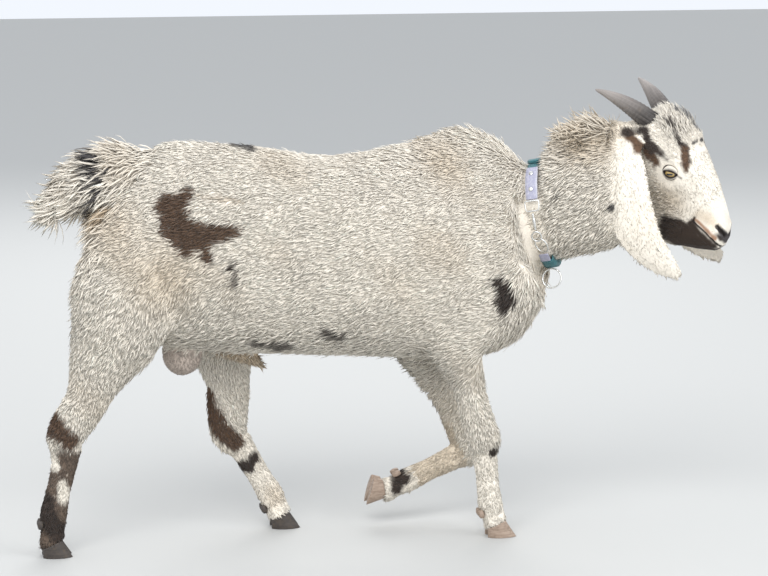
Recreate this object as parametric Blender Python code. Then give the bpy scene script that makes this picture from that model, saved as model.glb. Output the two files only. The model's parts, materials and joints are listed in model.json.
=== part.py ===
"""Young Boer-cross buck goat, a life-size still model walking with its head turned to its right.

The goat faces +X, its left side is +Y and the ground is z = 0. Sizes are metres and angles degrees.
The flesh is modelled whole from lofted bodies, fused and smoothed, then parted by thin cuts into head,
neck, trunk, tail and the segments of each leg. Ears, horns, eyes, claws and the collar are made apart.
"""
import math

import bmesh
import bpy
import numpy as np
from mathutils import Matrix, Vector

# ---------------------------------------------------------------- driving dimensions
GAP = 0.0003                     # clearance between pieces that touch
FUSE_GRAIN = 0.0045              # grain of the fused flesh
FLESH_FACES = 3000               # triangles of the whole flesh before it is parted
HEAD_SHARE = 0.024               # how strongly the head keeps its detail when the flesh is thinned
SOFTEN_ABOVE = 0.36              # the body above this height is smoothed where muscle meets muscle
SOFTEN_ABOVE_BREAST = 0.42       # and above this height in front of BREAST_FROM
BREAST_FROM = 0.08
HEAD_FROM = -0.10                # the head's detail is kept from this f forwards
HEAD_FROM_X = 0.42
CREASE = 40.0                    # edges sharper than this stay sharp when shaded

# Trunk and neck, rear to front. Each row: top x, top z, bottom x, bottom z, half width, shift to +Y,
# narrowing towards the top line, height of the coat's crest, turn of the section in degrees.
SPINE = [
    (-0.590, 0.665, -0.600, 0.560, 0.050, 0.000, 0.00, 0.000, 0.0),    # point of the buttock
    (-0.545, 0.755, -0.560, 0.480, 0.098, 0.000, 0.05, 0.000, 0.0),    # tail root
    (-0.435, 0.818, -0.450, 0.402, 0.122, 0.000, 0.18, 0.004, 0.0),    # croup
    (-0.290, 0.808, -0.280, 0.384, 0.142, 0.000, 0.16, 0.004, 0.0),    # loin and flank
    (-0.110, 0.782, -0.110, 0.374, 0.160, 0.000, 0.10, 0.004, 0.0),    # barrel
    (0.040, 0.800, 0.055, 0.364, 0.143, 0.000, 0.14, 0.004, 0.0),      # girth
    (0.160, 0.828, 0.175, 0.360, 0.122, 0.000, 0.30, 0.010, 0.0),      # withers and brisket
    (0.232, 0.808, 0.268, 0.386, 0.112, 0.000, 0.25, 0.004, -4.0),     # shoulder
    (0.278, 0.772, 0.330, 0.462, 0.094, -0.002, 0.15, 0.000, -14.0),   # breast
    (0.306, 0.756, 0.354, 0.543, 0.077, -0.006, 0.10, 0.000, -26.0),   # collar bed
    (0.362, 0.798, 0.392, 0.562, 0.074, -0.022, 0.12, 0.046, -27.0),   # middle of the neck
    (0.425, 0.820, 0.440, 0.574, 0.071, -0.042, 0.12, 0.050, -32.0),   # behind the ears
    (0.500, 0.822, 0.490, 0.592, 0.062, -0.068, 0.10, 0.020, -36.0),   # nape and throat
]

CREST_SPREAD = 0.26              # radians of the section that the crest covers, to each side

# Legs: where each joint lies, x and z; y below is the distance from the middle plane.
# Fore: scapula, shoulder, elbow, knee, fetlock, coronet. Hind: croup, hip, stifle, hock, fetlock, coronet.
LEGS = {
    "foreleg_right": dict(side=-1, x=(0.150, 0.235, 0.118, 0.190, 0.207, 0.219),
                          z=(0.720, 0.520, 0.412, 0.205, 0.072, 0.028), sole=(0.224, 0.0), pitch=0.0),
    "foreleg_left": dict(side=1, x=(0.150, 0.225, 0.118, 0.198, 0.062, 0.014),
                         z=(0.720, 0.500, 0.378, 0.152, 0.090, 0.070), sole=(-0.018, 0.079), pitch=-106.0),
    "hindleg_right": dict(side=-1, x=(-0.480, -0.505, -0.548, -0.647, -0.681, -0.684),
                          z=(0.720, 0.610, 0.448, 0.243, 0.082, 0.028), sole=(-0.680, 0.0), pitch=0.0),
    "hindleg_left": dict(side=1, x=(-0.470, -0.450, -0.320, -0.303, -0.222, -0.206),
                         z=(0.720, 0.610, 0.450, 0.205, 0.066, 0.028), sole=(-0.200, 0.0), pitch=0.0),
}
FORE_Y = (0.062, 0.086, 0.086, 0.074, 0.072, 0.070)
HIND_Y = (0.060, 0.078, 0.098, 0.086, 0.082, 0.080)

# Girth of the legs, hair and all: joint it starts from, fraction of the way to the next joint,
# half depth fore and aft, half width, shift forward.
FORE_ARM = [(0, 0.0, 0.040, 0.026, 0.0), (0, 0.5, 0.066, 0.040, 0.0), (1, 0.0, 0.074, 0.046, 0.0),
            (1, 0.6, 0.078, 0.048, 0.0), (2, 0.0, 0.060, 0.040, 0.0)]
FORE_LEG = [(1, 0.8, 0.078, 0.044, 0.010), (2, 0.0, 0.070, 0.042, 0.014), (2, 0.26, 0.046, 0.035, 0.013),
            (2, 0.60, 0.035, 0.029, 0.006), (2, 0.86, 0.0365, 0.030, 0.003), (3, 0.0, 0.038, 0.031, 0.002),
            (3, 0.25, 0.0285, 0.022, 0.0), (3, 0.65, 0.0245, 0.019, 0.0), (4, 0.0, 0.0265, 0.024, 0.0),
            (4, 0.5, 0.0235, 0.0235, 0.0), (5, 0.0, 0.0255, 0.0275, 0.0), (5, 0.5, 0.0255, 0.0275, 0.0)]
HIND_THIGH = [(0, 0.0, 0.060, 0.024, 0.0), (1, 0.0, 0.108, 0.040, 0.0), (1, 0.6, 0.112, 0.046, -0.004),
              (2, 0.0, 0.098, 0.044, -0.004), (2, 0.3, 0.072, 0.038, -0.004)]
HIND_LEG = [(1, 0.8, 0.090, 0.044, 0.0), (2, 0.0, 0.096, 0.044, -0.006), (2, 0.30, 0.072, 0.038, -0.005),
            (2, 0.62, 0.048, 0.031, 0.0), (2, 0.88, 0.0445, 0.028, -0.006), (3, 0.0, 0.042, 0.028, -0.006),
            (3, 0.28, 0.029, 0.022, 0.0), (3, 0.65, 0.0255, 0.019, 0.0), (4, 0.0, 0.0280, 0.0245, 0.0),
            (4, 0.5, 0.0245, 0.0235, 0.0), (5, 0.0, 0.0265, 0.0275, 0.0), (5, 0.5, 0.0265, 0.0275, 0.0)]

# Cuts of each leg: joint, how far towards the next joint, then half depth and half width of the limb there.
FOOT_CUT = (3, 0.86, 0.085, 0.050)
CANNON_CUT = (3, 0.12, 0.085, 0.050)
FOREARM_CUT = (2, 0.40, 0.070, 0.072)
GASKIN_CUT = (2, 0.34, 0.095, 0.072)
SHANK_CUT_OUT = 0.016            # the cut of forearm and gaskin lies this far to the outer side

# Foot, in its own frame: x towards the toe, z up from the sole, origin on the sole.
HOOF_HEEL = -0.024
HOOF_TOE = 0.036
CLAW_WIDTH = 0.026
CLEFT = 0.0036
WALL_LEAN = 0.024                # how far back the toe's wall leans on its way up
CORONET_FRONT = 0.036            # height of the hair line at the toe
CORONET_HEEL = 0.019             # and at the heel
DEWCLAW = (0.011, 0.008, 0.017)  # half length down, half width, drop below the fetlock
DEWCLAW_BACK = 0.0255
DEWCLAW_APART = 0.0115
DEWCLAW_ROOM = 0.0004

# Head: its own frame has f forward along the muzzle, u up from the eyes, v to the goat's left.
EYES_AT = (0.586, -0.080, 0.751)
HEAD_YAW = -37.0
HEAD_PITCH = -51.0
HEAD_ROLL = 8.0
# Profile of the head with its coat: f, top u, bottom u, half width, u of the widest line, narrowing of jaw.
HEAD = [
    (-0.128, 0.030, -0.090, 0.040, -0.020, 0.10),    # back of the skull
    (-0.108, 0.058, -0.116, 0.054, -0.012, 0.16),    # nape
    (-0.080, 0.076, -0.128, 0.060, 0.000, 0.24),     # between the horns
    (-0.048, 0.085, -0.136, 0.061, 0.010, 0.30),     # forehead
    (-0.026, 0.088, -0.142, 0.061, 0.012, 0.32),     # tuft of the brow
    (-0.008, 0.077, -0.144, 0.060, 0.014, 0.34),     # brow and angle of the jaw
    (0.020, 0.070, -0.144, 0.055, 0.012, 0.36),      # eyes
    (0.055, 0.063, -0.138, 0.045, 0.004, 0.34),      # root of the nose
    (0.090, 0.054, -0.131, 0.038, -0.006, 0.28),     # bridge and mouth corner
    (0.120, 0.042, -0.110, 0.034, -0.012, 0.22),     # muzzle
    (0.150, 0.027, -0.068, 0.033, -0.014, 0.16),     # nostrils
    (0.170, 0.009, -0.048, 0.029, -0.018, 0.12),     # lips
    (0.184, -0.010, -0.034, 0.017, -0.022, 0.10),    # end of the nose
]
# Swellings and hollows of each side of the head: f, u, v of the centre, radius, height.
HEAD_FORMS = {
    "brow": (-0.006, 0.038, 0.054, 0.022, 0.006),
    "cheek bone": (0.028, -0.012, 0.050, 0.022, 0.004),
    "temple": (-0.046, 0.030, 0.060, 0.020, -0.005),
    "cheek": (-0.030, -0.062, 0.052, 0.040, 0.006),
    "side of the face": (0.072, -0.012, 0.044, 0.030, -0.004),
    "nostril wing": (0.160, 0.002, 0.030, 0.016, 0.005),
    "upper lip": (0.158, -0.026, 0.032, 0.018, 0.003),
    "chin": (0.150, -0.060, 0.010, 0.020, 0.004),
    "eye hollow": (0.007, 0.014, 0.062, 0.017, -0.004),
    "nostril": (0.172, 0.004, 0.027, 0.007, -0.006),
}
EYE_RADIUS = 0.0155
EYE_CENTRE = (0.007, 0.013, 0.0495)

HEAD_CUT = (0.476, -0.060, 0.710)   # where head and neck part, behind ears and jaw
HEAD_CUT_RISE = 0.10
NECK_BEHIND_COLLAR = 0.030

# Horns: base, half sizes of the oval base, then how far back, up and out the tip lies.
HORN_BASE = (-0.102, 0.032, 0.033)
HORN_OVAL = (0.022, 0.0155)
HORN_SWEEP = (0.090, 0.066, 0.072)
HORN_ARCH = 0.006
HORN_STATIONS = (-0.10, 0.10, 0.30, 0.50, 0.70, 0.86, 1.0)

# Ears: from the base down, points in the goat's own frame about the ear's root, then half widths.
EAR_ROOT = (-0.092, 0.004, 0.052)
EAR_LENGTH = 0.295
EAR_WIDTHS = [(0.0, 0.020), (0.10, 0.034), (0.25, 0.048), (0.42, 0.052), (0.62, 0.050), (0.80, 0.041),
              (0.93, 0.027), (1.0, 0.010)]
# Middle line of the ear: share of its length, then forward, outward and down from the root in lengths.
EAR_LINE = [(0.0, 0.00, 0.00, 0.00), (0.15, -0.07, 0.13, 0.10), (0.4, -0.035, 0.19, 0.36),
            (0.7, 0.075, 0.20, 0.65), (0.85, 0.19, 0.19, 0.79), (1.0, 0.38, 0.17, 0.93)]
EAR_THICK = 0.0058
EAR_CUP = (0.30, 0.12)           # how deep the ear is cupped at its root and at its tip

# Tail and its plume: centre x, z, half depth across the path, half width.
TAIL = [(-0.470, 0.766, 0.026, 0.026), (-0.508, 0.778, 0.038, 0.036), (-0.546, 0.766, 0.050, 0.044),
        (-0.584, 0.744, 0.056, 0.044), (-0.625, 0.715, 0.048, 0.034), (-0.662, 0.686, 0.030, 0.022),
        (-0.688, 0.660, 0.008, 0.006)]
TAIL_SHIFT = -0.012
TAIL_CUT = (-0.515, 0.742)       # where the tail leaves the rump
TAIL_CUT_DIRECTION = (-0.743, 0.0, 0.669)
TAIL_CUT_HALF = (0.22, 0.10)

SCROTUM = dict(centre=(-0.412, 0.0, 0.385), half=(0.042, 0.036, 0.044))
SHEATH = [(-0.345, 0.398, 0.016), (-0.300, 0.385, 0.018), (-0.268, 0.370, 0.014), (-0.252, 0.354, 0.006)]

# Collar.
STRAP_WIDTH = 0.025
STRAP_THICK = 0.003
BED_DEPTH = 0.0009               # how far the coat under the collar lies below it
COLLAR_TOP = (0.310, 0.7565)
COLLAR_BOTTOM = (0.352, 0.5445)
COLLAR_HALF_WIDTH = 0.0765
COLLAR_SHIFT = -0.006
COLLAR_TURN = -28.0              # degrees, as the neck bends to the right
# Places round the neck in degrees from the top, down the right side.
ARC_GAP = 0.3
LEATHER_ARC = (18.0, 64.0)
TAB_ARC = (129.0, 141.0)
RIVETS_AT = (30.0, 52.0)
FRAME_ARC = (65.6, 76.5)
BARREL_ARC = (79.0, 96.0)
HOOK_AT = 103.0
HANG_AT = 163.0
SLIDE_ARC = (-6.0, 7.0)
SLIDE_HEIGHT = 0.009
FITTINGS_ARC = (60.0, 190.0)     # where the coat is pressed flat under the fittings
FITTINGS_WIDTH = 0.052
HOOK_RADIUS = 0.0100
HOOK_WIRE = 0.0018
HOOK_BEYOND = 0.0036             # from the barrel's end to the hook's wire
RING_RADIUS = 0.0165
RING_TILT = 30.0
RING_DROP = 0.0205               # from the middle of the hook to the middle of its ring
RING_OUT = 0.0108
WIRE = 0.0016
# Snap's barrel: share of its length, radius.
BARREL = [(0.0, 0.0026), (0.30, 0.0028), (0.36, 0.0038), (0.80, 0.0038), (0.88, 0.0026), (1.0, 0.0026)]
BARREL_OUT = (0.0075, 0.0085)    # how far its two ends lie off the neck
RIVET = (0.0045, 0.0028, 0.0018)  # radius at the strap, radius on top, height
BED_OUT = 0.060                  # how far out the coat is cleared over the collar's bed

MATERIALS = {
    "hair_white": ((0.80, 0.75, 0.68), 0.85, 0.0),
    "hair_brown": ((0.16, 0.06, 0.035), 0.8, 0.0),
    "skin_pink": ((0.55, 0.40, 0.33), 0.6, 0.0),
    "horn_grey": ((0.20, 0.18, 0.16), 0.5, 0.0),
    "hoof_beige": ((0.42, 0.30, 0.21), 0.5, 0.0),
    "hoof_dark": ((0.06, 0.045, 0.04), 0.5, 0.0),
    "eye_amber": ((0.55, 0.42, 0.16), 0.1, 0.0),
    "webbing_teal": ((0.02, 0.16, 0.20), 0.8, 0.0),
    "leather_grey": ((0.36, 0.36, 0.48), 0.6, 0.0),
    "steel": ((0.70, 0.70, 0.68), 0.25, 1.0),
}


# ---------------------------------------------------------------- curves and lofts
def smooth_values(stations, places):
    """Monotone cubic through the rows of stations, whose first column is the place along the form."""
    rows = np.array(stations, float)
    x = rows[:, 0]
    y = rows[:, 1:]
    step = np.diff(x)[:, None]
    slope = np.diff(y, axis=0) / step
    bend = np.zeros_like(y)
    same = slope[:-1] * slope[1:] > 0
    mean = 2.0 * slope[:-1] * slope[1:] / np.where(same, slope[:-1] + slope[1:], 1.0)
    bend[1:-1] = np.where(same, mean, 0.0)
    bend[0] = slope[0]
    bend[-1] = slope[-1]
    out = []
    for place in places:
        i = int(np.clip(np.searchsorted(x, place) - 1, 0, len(x) - 2))
        h = x[i + 1] - x[i]
        t = (place - x[i]) / h
        out.append((2 * t**3 - 3 * t**2 + 1) * y[i] + (t**3 - 2 * t**2 + t) * h * bend[i]
                   + (3 * t**2 - 2 * t**3) * y[i + 1] + (t**3 - t**2) * h * bend[i + 1])
    return np.array(out)


def by_number(rows, count):
    """Rows put at whole numbers and smoothed to count rows."""
    numbered = [(float(i), *row) for i, row in enumerate(rows)]
    return smooth_values(numbered, np.linspace(0.0, len(rows) - 1.0, count))


def face_outwards(mesh):
    mesh.normal_update()
    bmesh.ops.recalc_face_normals(mesh, faces=mesh.faces)


def loft(rings):
    """Closed mesh through rings of equal length, with a fan at each end."""
    mesh = bmesh.new()
    layers = [[mesh.verts.new(p) for p in ring] for ring in rings]
    size = len(layers[0])
    for low, high in zip(layers, layers[1:]):
        for i in range(size):
            j = (i + 1) % size
            mesh.faces.new((low[i], low[j], high[j], high[i]))
    for ring in (layers[0], layers[-1]):
        middle = mesh.verts.new(sum((v.co for v in ring), Vector()) / size)
        for i in range(size):
            mesh.faces.new((ring[i], ring[(i + 1) % size], middle))
    face_outwards(mesh)
    return mesh


def tube(points, half_sizes, sides=24, count=30, side_hint=(0.0, 1.0, 0.0)):
    """Tube of oval section along points; half_sizes are (half depth, half width) of each."""
    rows = by_number([(*p, *h) for p, h in zip(points, half_sizes)], count)
    centres = rows[:, :3]
    run = np.gradient(centres, axis=0)
    rings = []
    for centre, direction, (depth, width) in zip(centres, run, rows[:, 3:]):
        tangent = Vector(direction).normalized()
        deep = Vector(side_hint).cross(tangent).normalized()
        wide = tangent.cross(deep)
        ring = []
        for i in range(sides):
            a = 2 * math.pi * i / sides
            ring.append(Vector(centre) + deep * (depth * math.cos(a)) + wide * (width * math.sin(a)))
        rings.append(ring)
    return loft(rings)


def to_object(name, mesh, material=None):
    data = bpy.data.meshes.new(name)
    mesh.to_mesh(data)
    mesh.free()
    made = bpy.data.objects.new(name, data)
    bpy.context.scene.collection.objects.link(made)
    if material:
        data.materials.append(MATERIAL_BLOCKS[material])
    return made


def drop(thing):
    bpy.data.objects.remove(thing, do_unlink=True)


def evaluated(thing, name=None):
    """Plain mesh of an object with its modifiers applied, in a new object that takes its place."""
    bpy.context.view_layer.update()
    graph = bpy.context.evaluated_depsgraph_get()
    data = bpy.data.meshes.new_from_object(thing.evaluated_get(graph))
    name = name or thing.name
    drop(thing)
    made = bpy.data.objects.new(name, data)
    made.name = name
    bpy.context.scene.collection.objects.link(made)
    return made


def boolean(thing, tool, operation):
    """Apply a Boolean with tool and keep the tool."""
    cut = thing.modifiers.new("cut", "BOOLEAN")
    cut.operation = operation
    cut.solver = "EXACT"
    cut.object = tool
    return evaluated(thing)


def copy_of(thing, name, grow=0.0):
    """Copy of an object, its surface moved out by grow."""
    twin = thing.copy()
    twin.data = thing.data.copy()
    twin.name = name
    bpy.context.scene.collection.objects.link(twin)
    if grow:
        swell = twin.modifiers.new("swell", "DISPLACE")
        swell.mid_level = 0.0
        swell.strength = grow
        twin = evaluated(twin, name)
    return twin


def carve(thing, tool, grow=GAP):
    """Make room in thing for tool, with a clearance."""
    cutter = copy_of(tool, "cutter", grow)
    thing = boolean(thing, cutter, "DIFFERENCE")
    drop(cutter)
    return thing


# ---------------------------------------------------------------- frames
def head_matrix():
    """From the head's own frame (f, v, u) to the goat's."""
    turn = Matrix.Rotation(math.radians(HEAD_YAW), 4, "Z")
    nod = Matrix.Rotation(-math.radians(HEAD_PITCH), 4, "Y")
    lean = Matrix.Rotation(math.radians(HEAD_ROLL), 4, "X")
    return Matrix.Translation(EYES_AT) @ turn @ nod @ lean


def foot_matrix(leg):
    spec = LEGS[leg]
    x, z = spec["sole"]
    y = spec["side"] * (FORE_Y[-1] if "fore" in leg else HIND_Y[-1])
    return Matrix.Translation((x, y, z)) @ Matrix.Rotation(-math.radians(spec["pitch"]), 4, "Y")


def leg_point(leg, joint, fraction=0.0):
    """Point on the line of a leg's joints, and the direction of the line there."""
    spec = LEGS[leg]
    wide = FORE_Y if "fore" in leg else HIND_Y
    chain = [Vector((x, spec["side"] * y, z)) for x, y, z in zip(spec["x"], wide, spec["z"])]
    base = foot_matrix(leg) @ Vector((0.0, 0.0, 0.004))
    chain.append(base)
    here = chain[joint]
    there = chain[joint + 1]
    return here.lerp(there, fraction), (there - here).normalized()


# ---------------------------------------------------------------- flesh
def trunk_and_neck():
    rows = by_number(SPINE, 84)
    sides = 48
    rings = []
    for top_x, top_z, low_x, low_z, half, shift, narrow, crest, turn in rows:
        turned = math.radians(turn)
        left = Vector((-math.sin(turned), math.cos(turned), 0.0))
        top = Vector((top_x, shift, top_z))
        low = Vector((low_x, shift, low_z))
        middle = (top + low) / 2
        rise = (top - low) / 2
        ring = []
        for i in range(sides):
            a = 2 * math.pi * i / sides
            height = math.sin(a)
            ridge = crest * math.exp(-((a - math.pi / 2) / CREST_SPREAD) ** 2)
            out = half * math.cos(a) * (1.0 - narrow * height)
            ring.append(middle + rise * height + rise.normalized() * ridge + left * out)
        rings.append(ring)
    return loft(rings)


def leg_tube(leg, girths, count):
    points = []
    sizes = []
    for joint, fraction, depth, width, forward in girths:
        point, run = leg_point(leg, joint, fraction)
        ahead = Vector((0.0, 1.0, 0.0)).cross(run).normalized()
        if ahead.x < 0 and LEGS[leg]["pitch"] == 0.0:
            ahead.negate()
        points.append(point + ahead * forward)
        sizes.append((depth, width))
    return tube(points, sizes, count=count)


def head_point(f, angle):
    """Point of the head's skin in its own frame, at f along the muzzle and an angle round it."""
    top, low, half, widest, narrow = smooth_values(HEAD, [f])[0]
    across = math.cos(angle)
    height = math.sin(angle)
    reach = (top - widest) if height > 0 else (widest - low)
    out = half * math.copysign(abs(across) ** 0.86, across)
    if height < 0:
        out *= 1.0 + narrow * height
    point = Vector((f, out, widest + reach * height))
    outward = Vector((0.0, across, height * 0.8)).normalized()
    for cf, cu, cv, radius, rise in HEAD_FORMS.values():
        for side in (-1.0, 1.0):
            away = (point - Vector((cf, cv * side, cu))).length / radius
            point += outward * rise * math.exp(-away * away)
    return point


def head_flesh():
    sides = 56
    first = HEAD[0][0]
    last = HEAD[-1][0]
    rings = []
    for i in range(60):
        f = first + (last - first) * i / 59
        rings.append([head_point(f, 2 * math.pi * j / sides) for j in range(sides)])
    mesh = loft(rings)
    mesh.transform(head_matrix())
    return mesh


def tail_flesh():
    points = [(x, TAIL_SHIFT * i / (len(TAIL) - 1), z) for i, (x, z, d, w) in enumerate(TAIL)]
    return tube(points, [(d, w) for x, z, d, w in TAIL], count=26)


def fused_flesh():
    """Every fleshy body fused into one, smoothed where muscle meets muscle, and thinned to few faces."""
    meshes = [trunk_and_neck(), head_flesh(), tail_flesh()]
    for leg in LEGS:
        upper, lower = (FORE_ARM, FORE_LEG) if "fore" in leg else (HIND_THIGH, HIND_LEG)
        meshes.append(leg_tube(leg, upper, 20))
        meshes.append(leg_tube(leg, lower, 46))
    whole = bmesh.new()
    for part in meshes:
        data = bpy.data.meshes.new("piece")
        part.to_mesh(data)
        part.free()
        whole.from_mesh(data)
        bpy.data.meshes.remove(data)
    flesh = to_object("flesh", whole)
    fuse = flesh.modifiers.new("fuse", "REMESH")
    fuse.mode = "VOXEL"
    fuse.voxel_size = FUSE_GRAIN
    flesh = evaluated(flesh)
    to_head = head_matrix().inverted()
    body = flesh.vertex_groups.new(name="body")
    fine = flesh.vertex_groups.new(name="fine")
    for v in flesh.data.vertices:
        local = to_head @ v.co
        in_head = local.x > HEAD_FROM and v.co.x > HEAD_FROM_X
        low = v.co.z < SOFTEN_ABOVE or v.co.z < SOFTEN_ABOVE_BREAST and v.co.x > BREAST_FROM
        body.add([v.index], 0.0 if (in_head or low) else 1.0, "REPLACE")
        fine.add([v.index], 0.9 if in_head else 1.0, "REPLACE")
    soften = flesh.modifiers.new("soften", "SMOOTH")
    soften.factor = 0.5
    soften.iterations = 40
    soften.vertex_group = "body"
    settle = flesh.modifiers.new("settle", "SMOOTH")
    settle.factor = 0.5
    settle.iterations = 4
    thin = flesh.modifiers.new("thin", "DECIMATE")
    thin.decimate_type = "COLLAPSE"
    thin.vertex_group = "fine"
    thin.vertex_group_factor = HEAD_SHARE
    thin.ratio = FLESH_FACES / (2.0 * len(flesh.data.polygons))
    flesh = evaluated(flesh)
    flesh.vertex_groups.clear()
    return flesh


def cell(matrix, half):
    """Box-shaped region, as a cutter: half sizes about the matrix's origin."""
    mesh = bmesh.new()
    bmesh.ops.create_cube(mesh, size=2.0, matrix=matrix @ Matrix.Diagonal((*half, 1.0)))
    return to_object("cell", mesh)


def part_off(rest, name, matrix, half):
    """Part the region of a box off the rest, leaving a gap; gives the piece and what is left."""
    inner = cell(matrix, [h - GAP / 2 for h in half])
    outer = cell(matrix, [h + GAP / 2 for h in half])
    piece = copy_of(rest, name)
    piece = boolean(piece, inner, "INTERSECT")
    rest = boolean(rest, outer, "DIFFERENCE")
    drop(inner)
    drop(outer)
    piece.name = name
    return piece, rest


def across(point, direction, length, half_deep, half_wide):
    """Box that starts at point and runs for length along direction; its other axes are depth and width."""
    along = Vector(direction).normalized()
    wide = Vector((0.0, 1.0, 0.0))
    deep = wide.cross(along).normalized()
    wide = along.cross(deep)
    middle = Vector(point) + along * (length / 2)
    turn = Matrix((along, deep, wide)).transposed().to_4x4()
    return Matrix.Translation(middle) @ turn, (length / 2, half_deep, half_wide)


# ---------------------------------------------------------------- feet
def claw_mesh(side):
    """One claw in the foot's frame, from its flat sole up to the sloping hair line; side is +1 towards +Y."""
    sides = 12
    levels = 2
    length = HOOF_TOE - HOOF_HEEL
    rings = []
    for level in range(levels + 1):
        t = level / levels
        ring = []
        for i in range(sides):
            a = 2 * math.pi * i / sides
            share = 0.5 + 0.5 * math.cos(a)
            taper = 1.0 - 0.36 * max(0.0, math.cos(a)) ** 2
            x = HOOF_HEEL + (length - t * WALL_LEAN) * share
            y = side * (CLEFT + CLAW_WIDTH) / 2 + CLAW_WIDTH / 2 * math.sin(a) * taper * (1.0 - 0.06 * t)
            hair_line = CORONET_HEEL + (CORONET_FRONT - CORONET_HEEL) * share - GAP
            ring.append(Vector((x, y, t * hair_line)))
        rings.append(ring)
    return loft(rings)


def coronet_frame(leg):
    """Frame of the hair line over the claws: its z axis stands on the sloping plane."""
    slope = math.atan2(CORONET_FRONT - CORONET_HEEL, HOOF_TOE - HOOF_HEEL - WALL_LEAN)
    return (foot_matrix(leg) @ Matrix.Translation((HOOF_HEEL, 0.0, CORONET_HEEL))
            @ Matrix.Rotation(-slope, 4, "Y"))


def add_claws(leg):
    colour = "hoof_beige" if "fore" in leg else "hoof_dark"
    for number, side in (("inner", -LEGS[leg]["side"]), ("outer", LEGS[leg]["side"])):
        mesh = claw_mesh(side)
        mesh.transform(foot_matrix(leg))
        finish(to_object(f"{leg}_claw_{number}", mesh, colour))


def add_dewclaws(leg, foot):
    """Two small horny buds behind the fetlock; the foot is carved round them."""
    half_length, half_width, drop_below = DEWCLAW
    base, run = leg_point(leg, 4, 0.0)
    ahead = run.cross(Vector((0.0, 1.0, 0.0))).normalized()
    if (foot_matrix(leg).to_3x3() @ Vector((1.0, 0.0, 0.0))).dot(ahead) < 0:
        ahead.negate()
    for number, side in (("inner", -LEGS[leg]["side"]), ("outer", LEGS[leg]["side"])):
        centre = base + run * drop_below - ahead * DEWCLAW_BACK + Vector((0.0, side * DEWCLAW_APART, 0.0))
        mesh = bmesh.new()
        bmesh.ops.create_icosphere(mesh, subdivisions=1, radius=1.0)
        turn = Matrix((run.cross(ahead), run, ahead)).transposed().to_4x4()
        mesh.transform(Matrix.Translation(centre) @ turn
                       @ Matrix.Diagonal((half_width, half_length, half_width, 1.0)))
        face_outwards(mesh)
        colour = "hoof_beige" if "fore" in leg else "hoof_dark"
        bud = finish(to_object(f"{leg}_dewclaw_{number}", mesh, colour))
        foot = carve(foot, bud, DEWCLAW_ROOM)
    return foot


# ---------------------------------------------------------------- head's own pieces
def horn_mesh(side):
    """Horn that grows up and back from the poll, bends outwards and tapers to its tip."""
    base = head_matrix() @ Vector((HORN_BASE[0], HORN_BASE[2] * side, HORN_BASE[1]))
    yaw = math.radians(HEAD_YAW)
    ahead = Vector((math.cos(yaw), math.sin(yaw), 0.0))
    out = Vector((-math.sin(yaw), math.cos(yaw), 0.0)) * side
    back, up, wide = HORN_SWEEP
    tip = base - ahead * back + Vector((0.0, 0.0, up)) + out * wide
    straight = tip - base
    lift = Vector((0.0, 0.0, 1.0)) - straight.normalized() * straight.normalized().z
    lift.normalize()
    points = []
    sizes = []
    for t in HORN_STATIONS:
        bow = 4.0 * HORN_ARCH * max(0.0, t) * (1.0 - max(0.0, t))
        points.append(base + straight * t + lift * bow)
        thick = 1.0 - 0.92 * max(0.0, t) ** 1.7
        sizes.append((HORN_OVAL[0] * thick, HORN_OVAL[1] * thick))
    return tube(points, sizes, sides=10, count=9, side_hint=tuple(out))


def ear_mesh(side):
    """Long drooping ear: a leaf cupped round its middle line, hanging beside the cheek."""
    root = head_matrix() @ Vector((EAR_ROOT[0], EAR_ROOT[2] * side, EAR_ROOT[1]))
    yaw = math.radians(HEAD_YAW)
    ahead = Vector((math.cos(yaw), math.sin(yaw), 0.0))
    out = Vector((-math.sin(yaw), math.cos(yaw), 0.0)) * side
    down = Vector((0.0, 0.0, -1.0))
    count = 13
    places = np.linspace(0.0, 1.0, count)
    path = smooth_values(EAR_LINE, places) * EAR_LENGTH
    half_widths = smooth_values(EAR_WIDTHS, places)[:, 0]
    centres = [root + ahead * f + out * o + down * d for f, o, d in path]
    across_count = 5
    rings = []
    for k in range(count):
        before = centres[max(0, k - 1)]
        after = centres[min(count - 1, k + 1)]
        tangent = (after - before).normalized()
        broad = (ahead - tangent * ahead.dot(tangent)).normalized()
        face = tangent.cross(broad).normalized()
        if face.dot(out) < 0:
            face.negate()
        cup = EAR_CUP[0] + (EAR_CUP[1] - EAR_CUP[0]) * places[k]
        thick = EAR_THICK * (1.0 - 0.45 * places[k])
        ring = []
        for layer in (1.0, -1.0):
            order = range(across_count) if layer > 0 else range(across_count - 1, -1, -1)
            for i in order:
                s = 2.0 * i / (across_count - 1) - 1.0
                edge = math.sqrt(max(0.0, 1.0 - s * s)) * 0.75 + 0.25
                sag = -cup * half_widths[k] * s * s
                ring.append(centres[k] + broad * (half_widths[k] * s)
                            + face * (sag + layer * thick / 2 * edge))
        rings.append(ring)
    return loft(rings)


def add_head_pieces(head, neck):
    for side, hand in ((-1, "right"), (1, "left")):
        horn = finish(to_object(f"horn_{hand}", horn_mesh(side), "horn_grey"))
        head = carve(head, horn)
        neck = carve(neck, horn)
        ear = finish(to_object(f"ear_{hand}", ear_mesh(side), "hair_white"))
        head = carve(head, ear)
        neck = carve(neck, ear)
        mesh = bmesh.new()
        bmesh.ops.create_icosphere(mesh, subdivisions=2, radius=EYE_RADIUS)
        centre = head_matrix() @ Vector((EYE_CENTRE[0], EYE_CENTRE[2] * side, EYE_CENTRE[1]))
        mesh.transform(Matrix.Translation(centre))
        eye = finish(to_object(f"eye_{hand}", mesh, "eye_amber"))
        head = carve(head, eye)
    return head, neck


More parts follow.
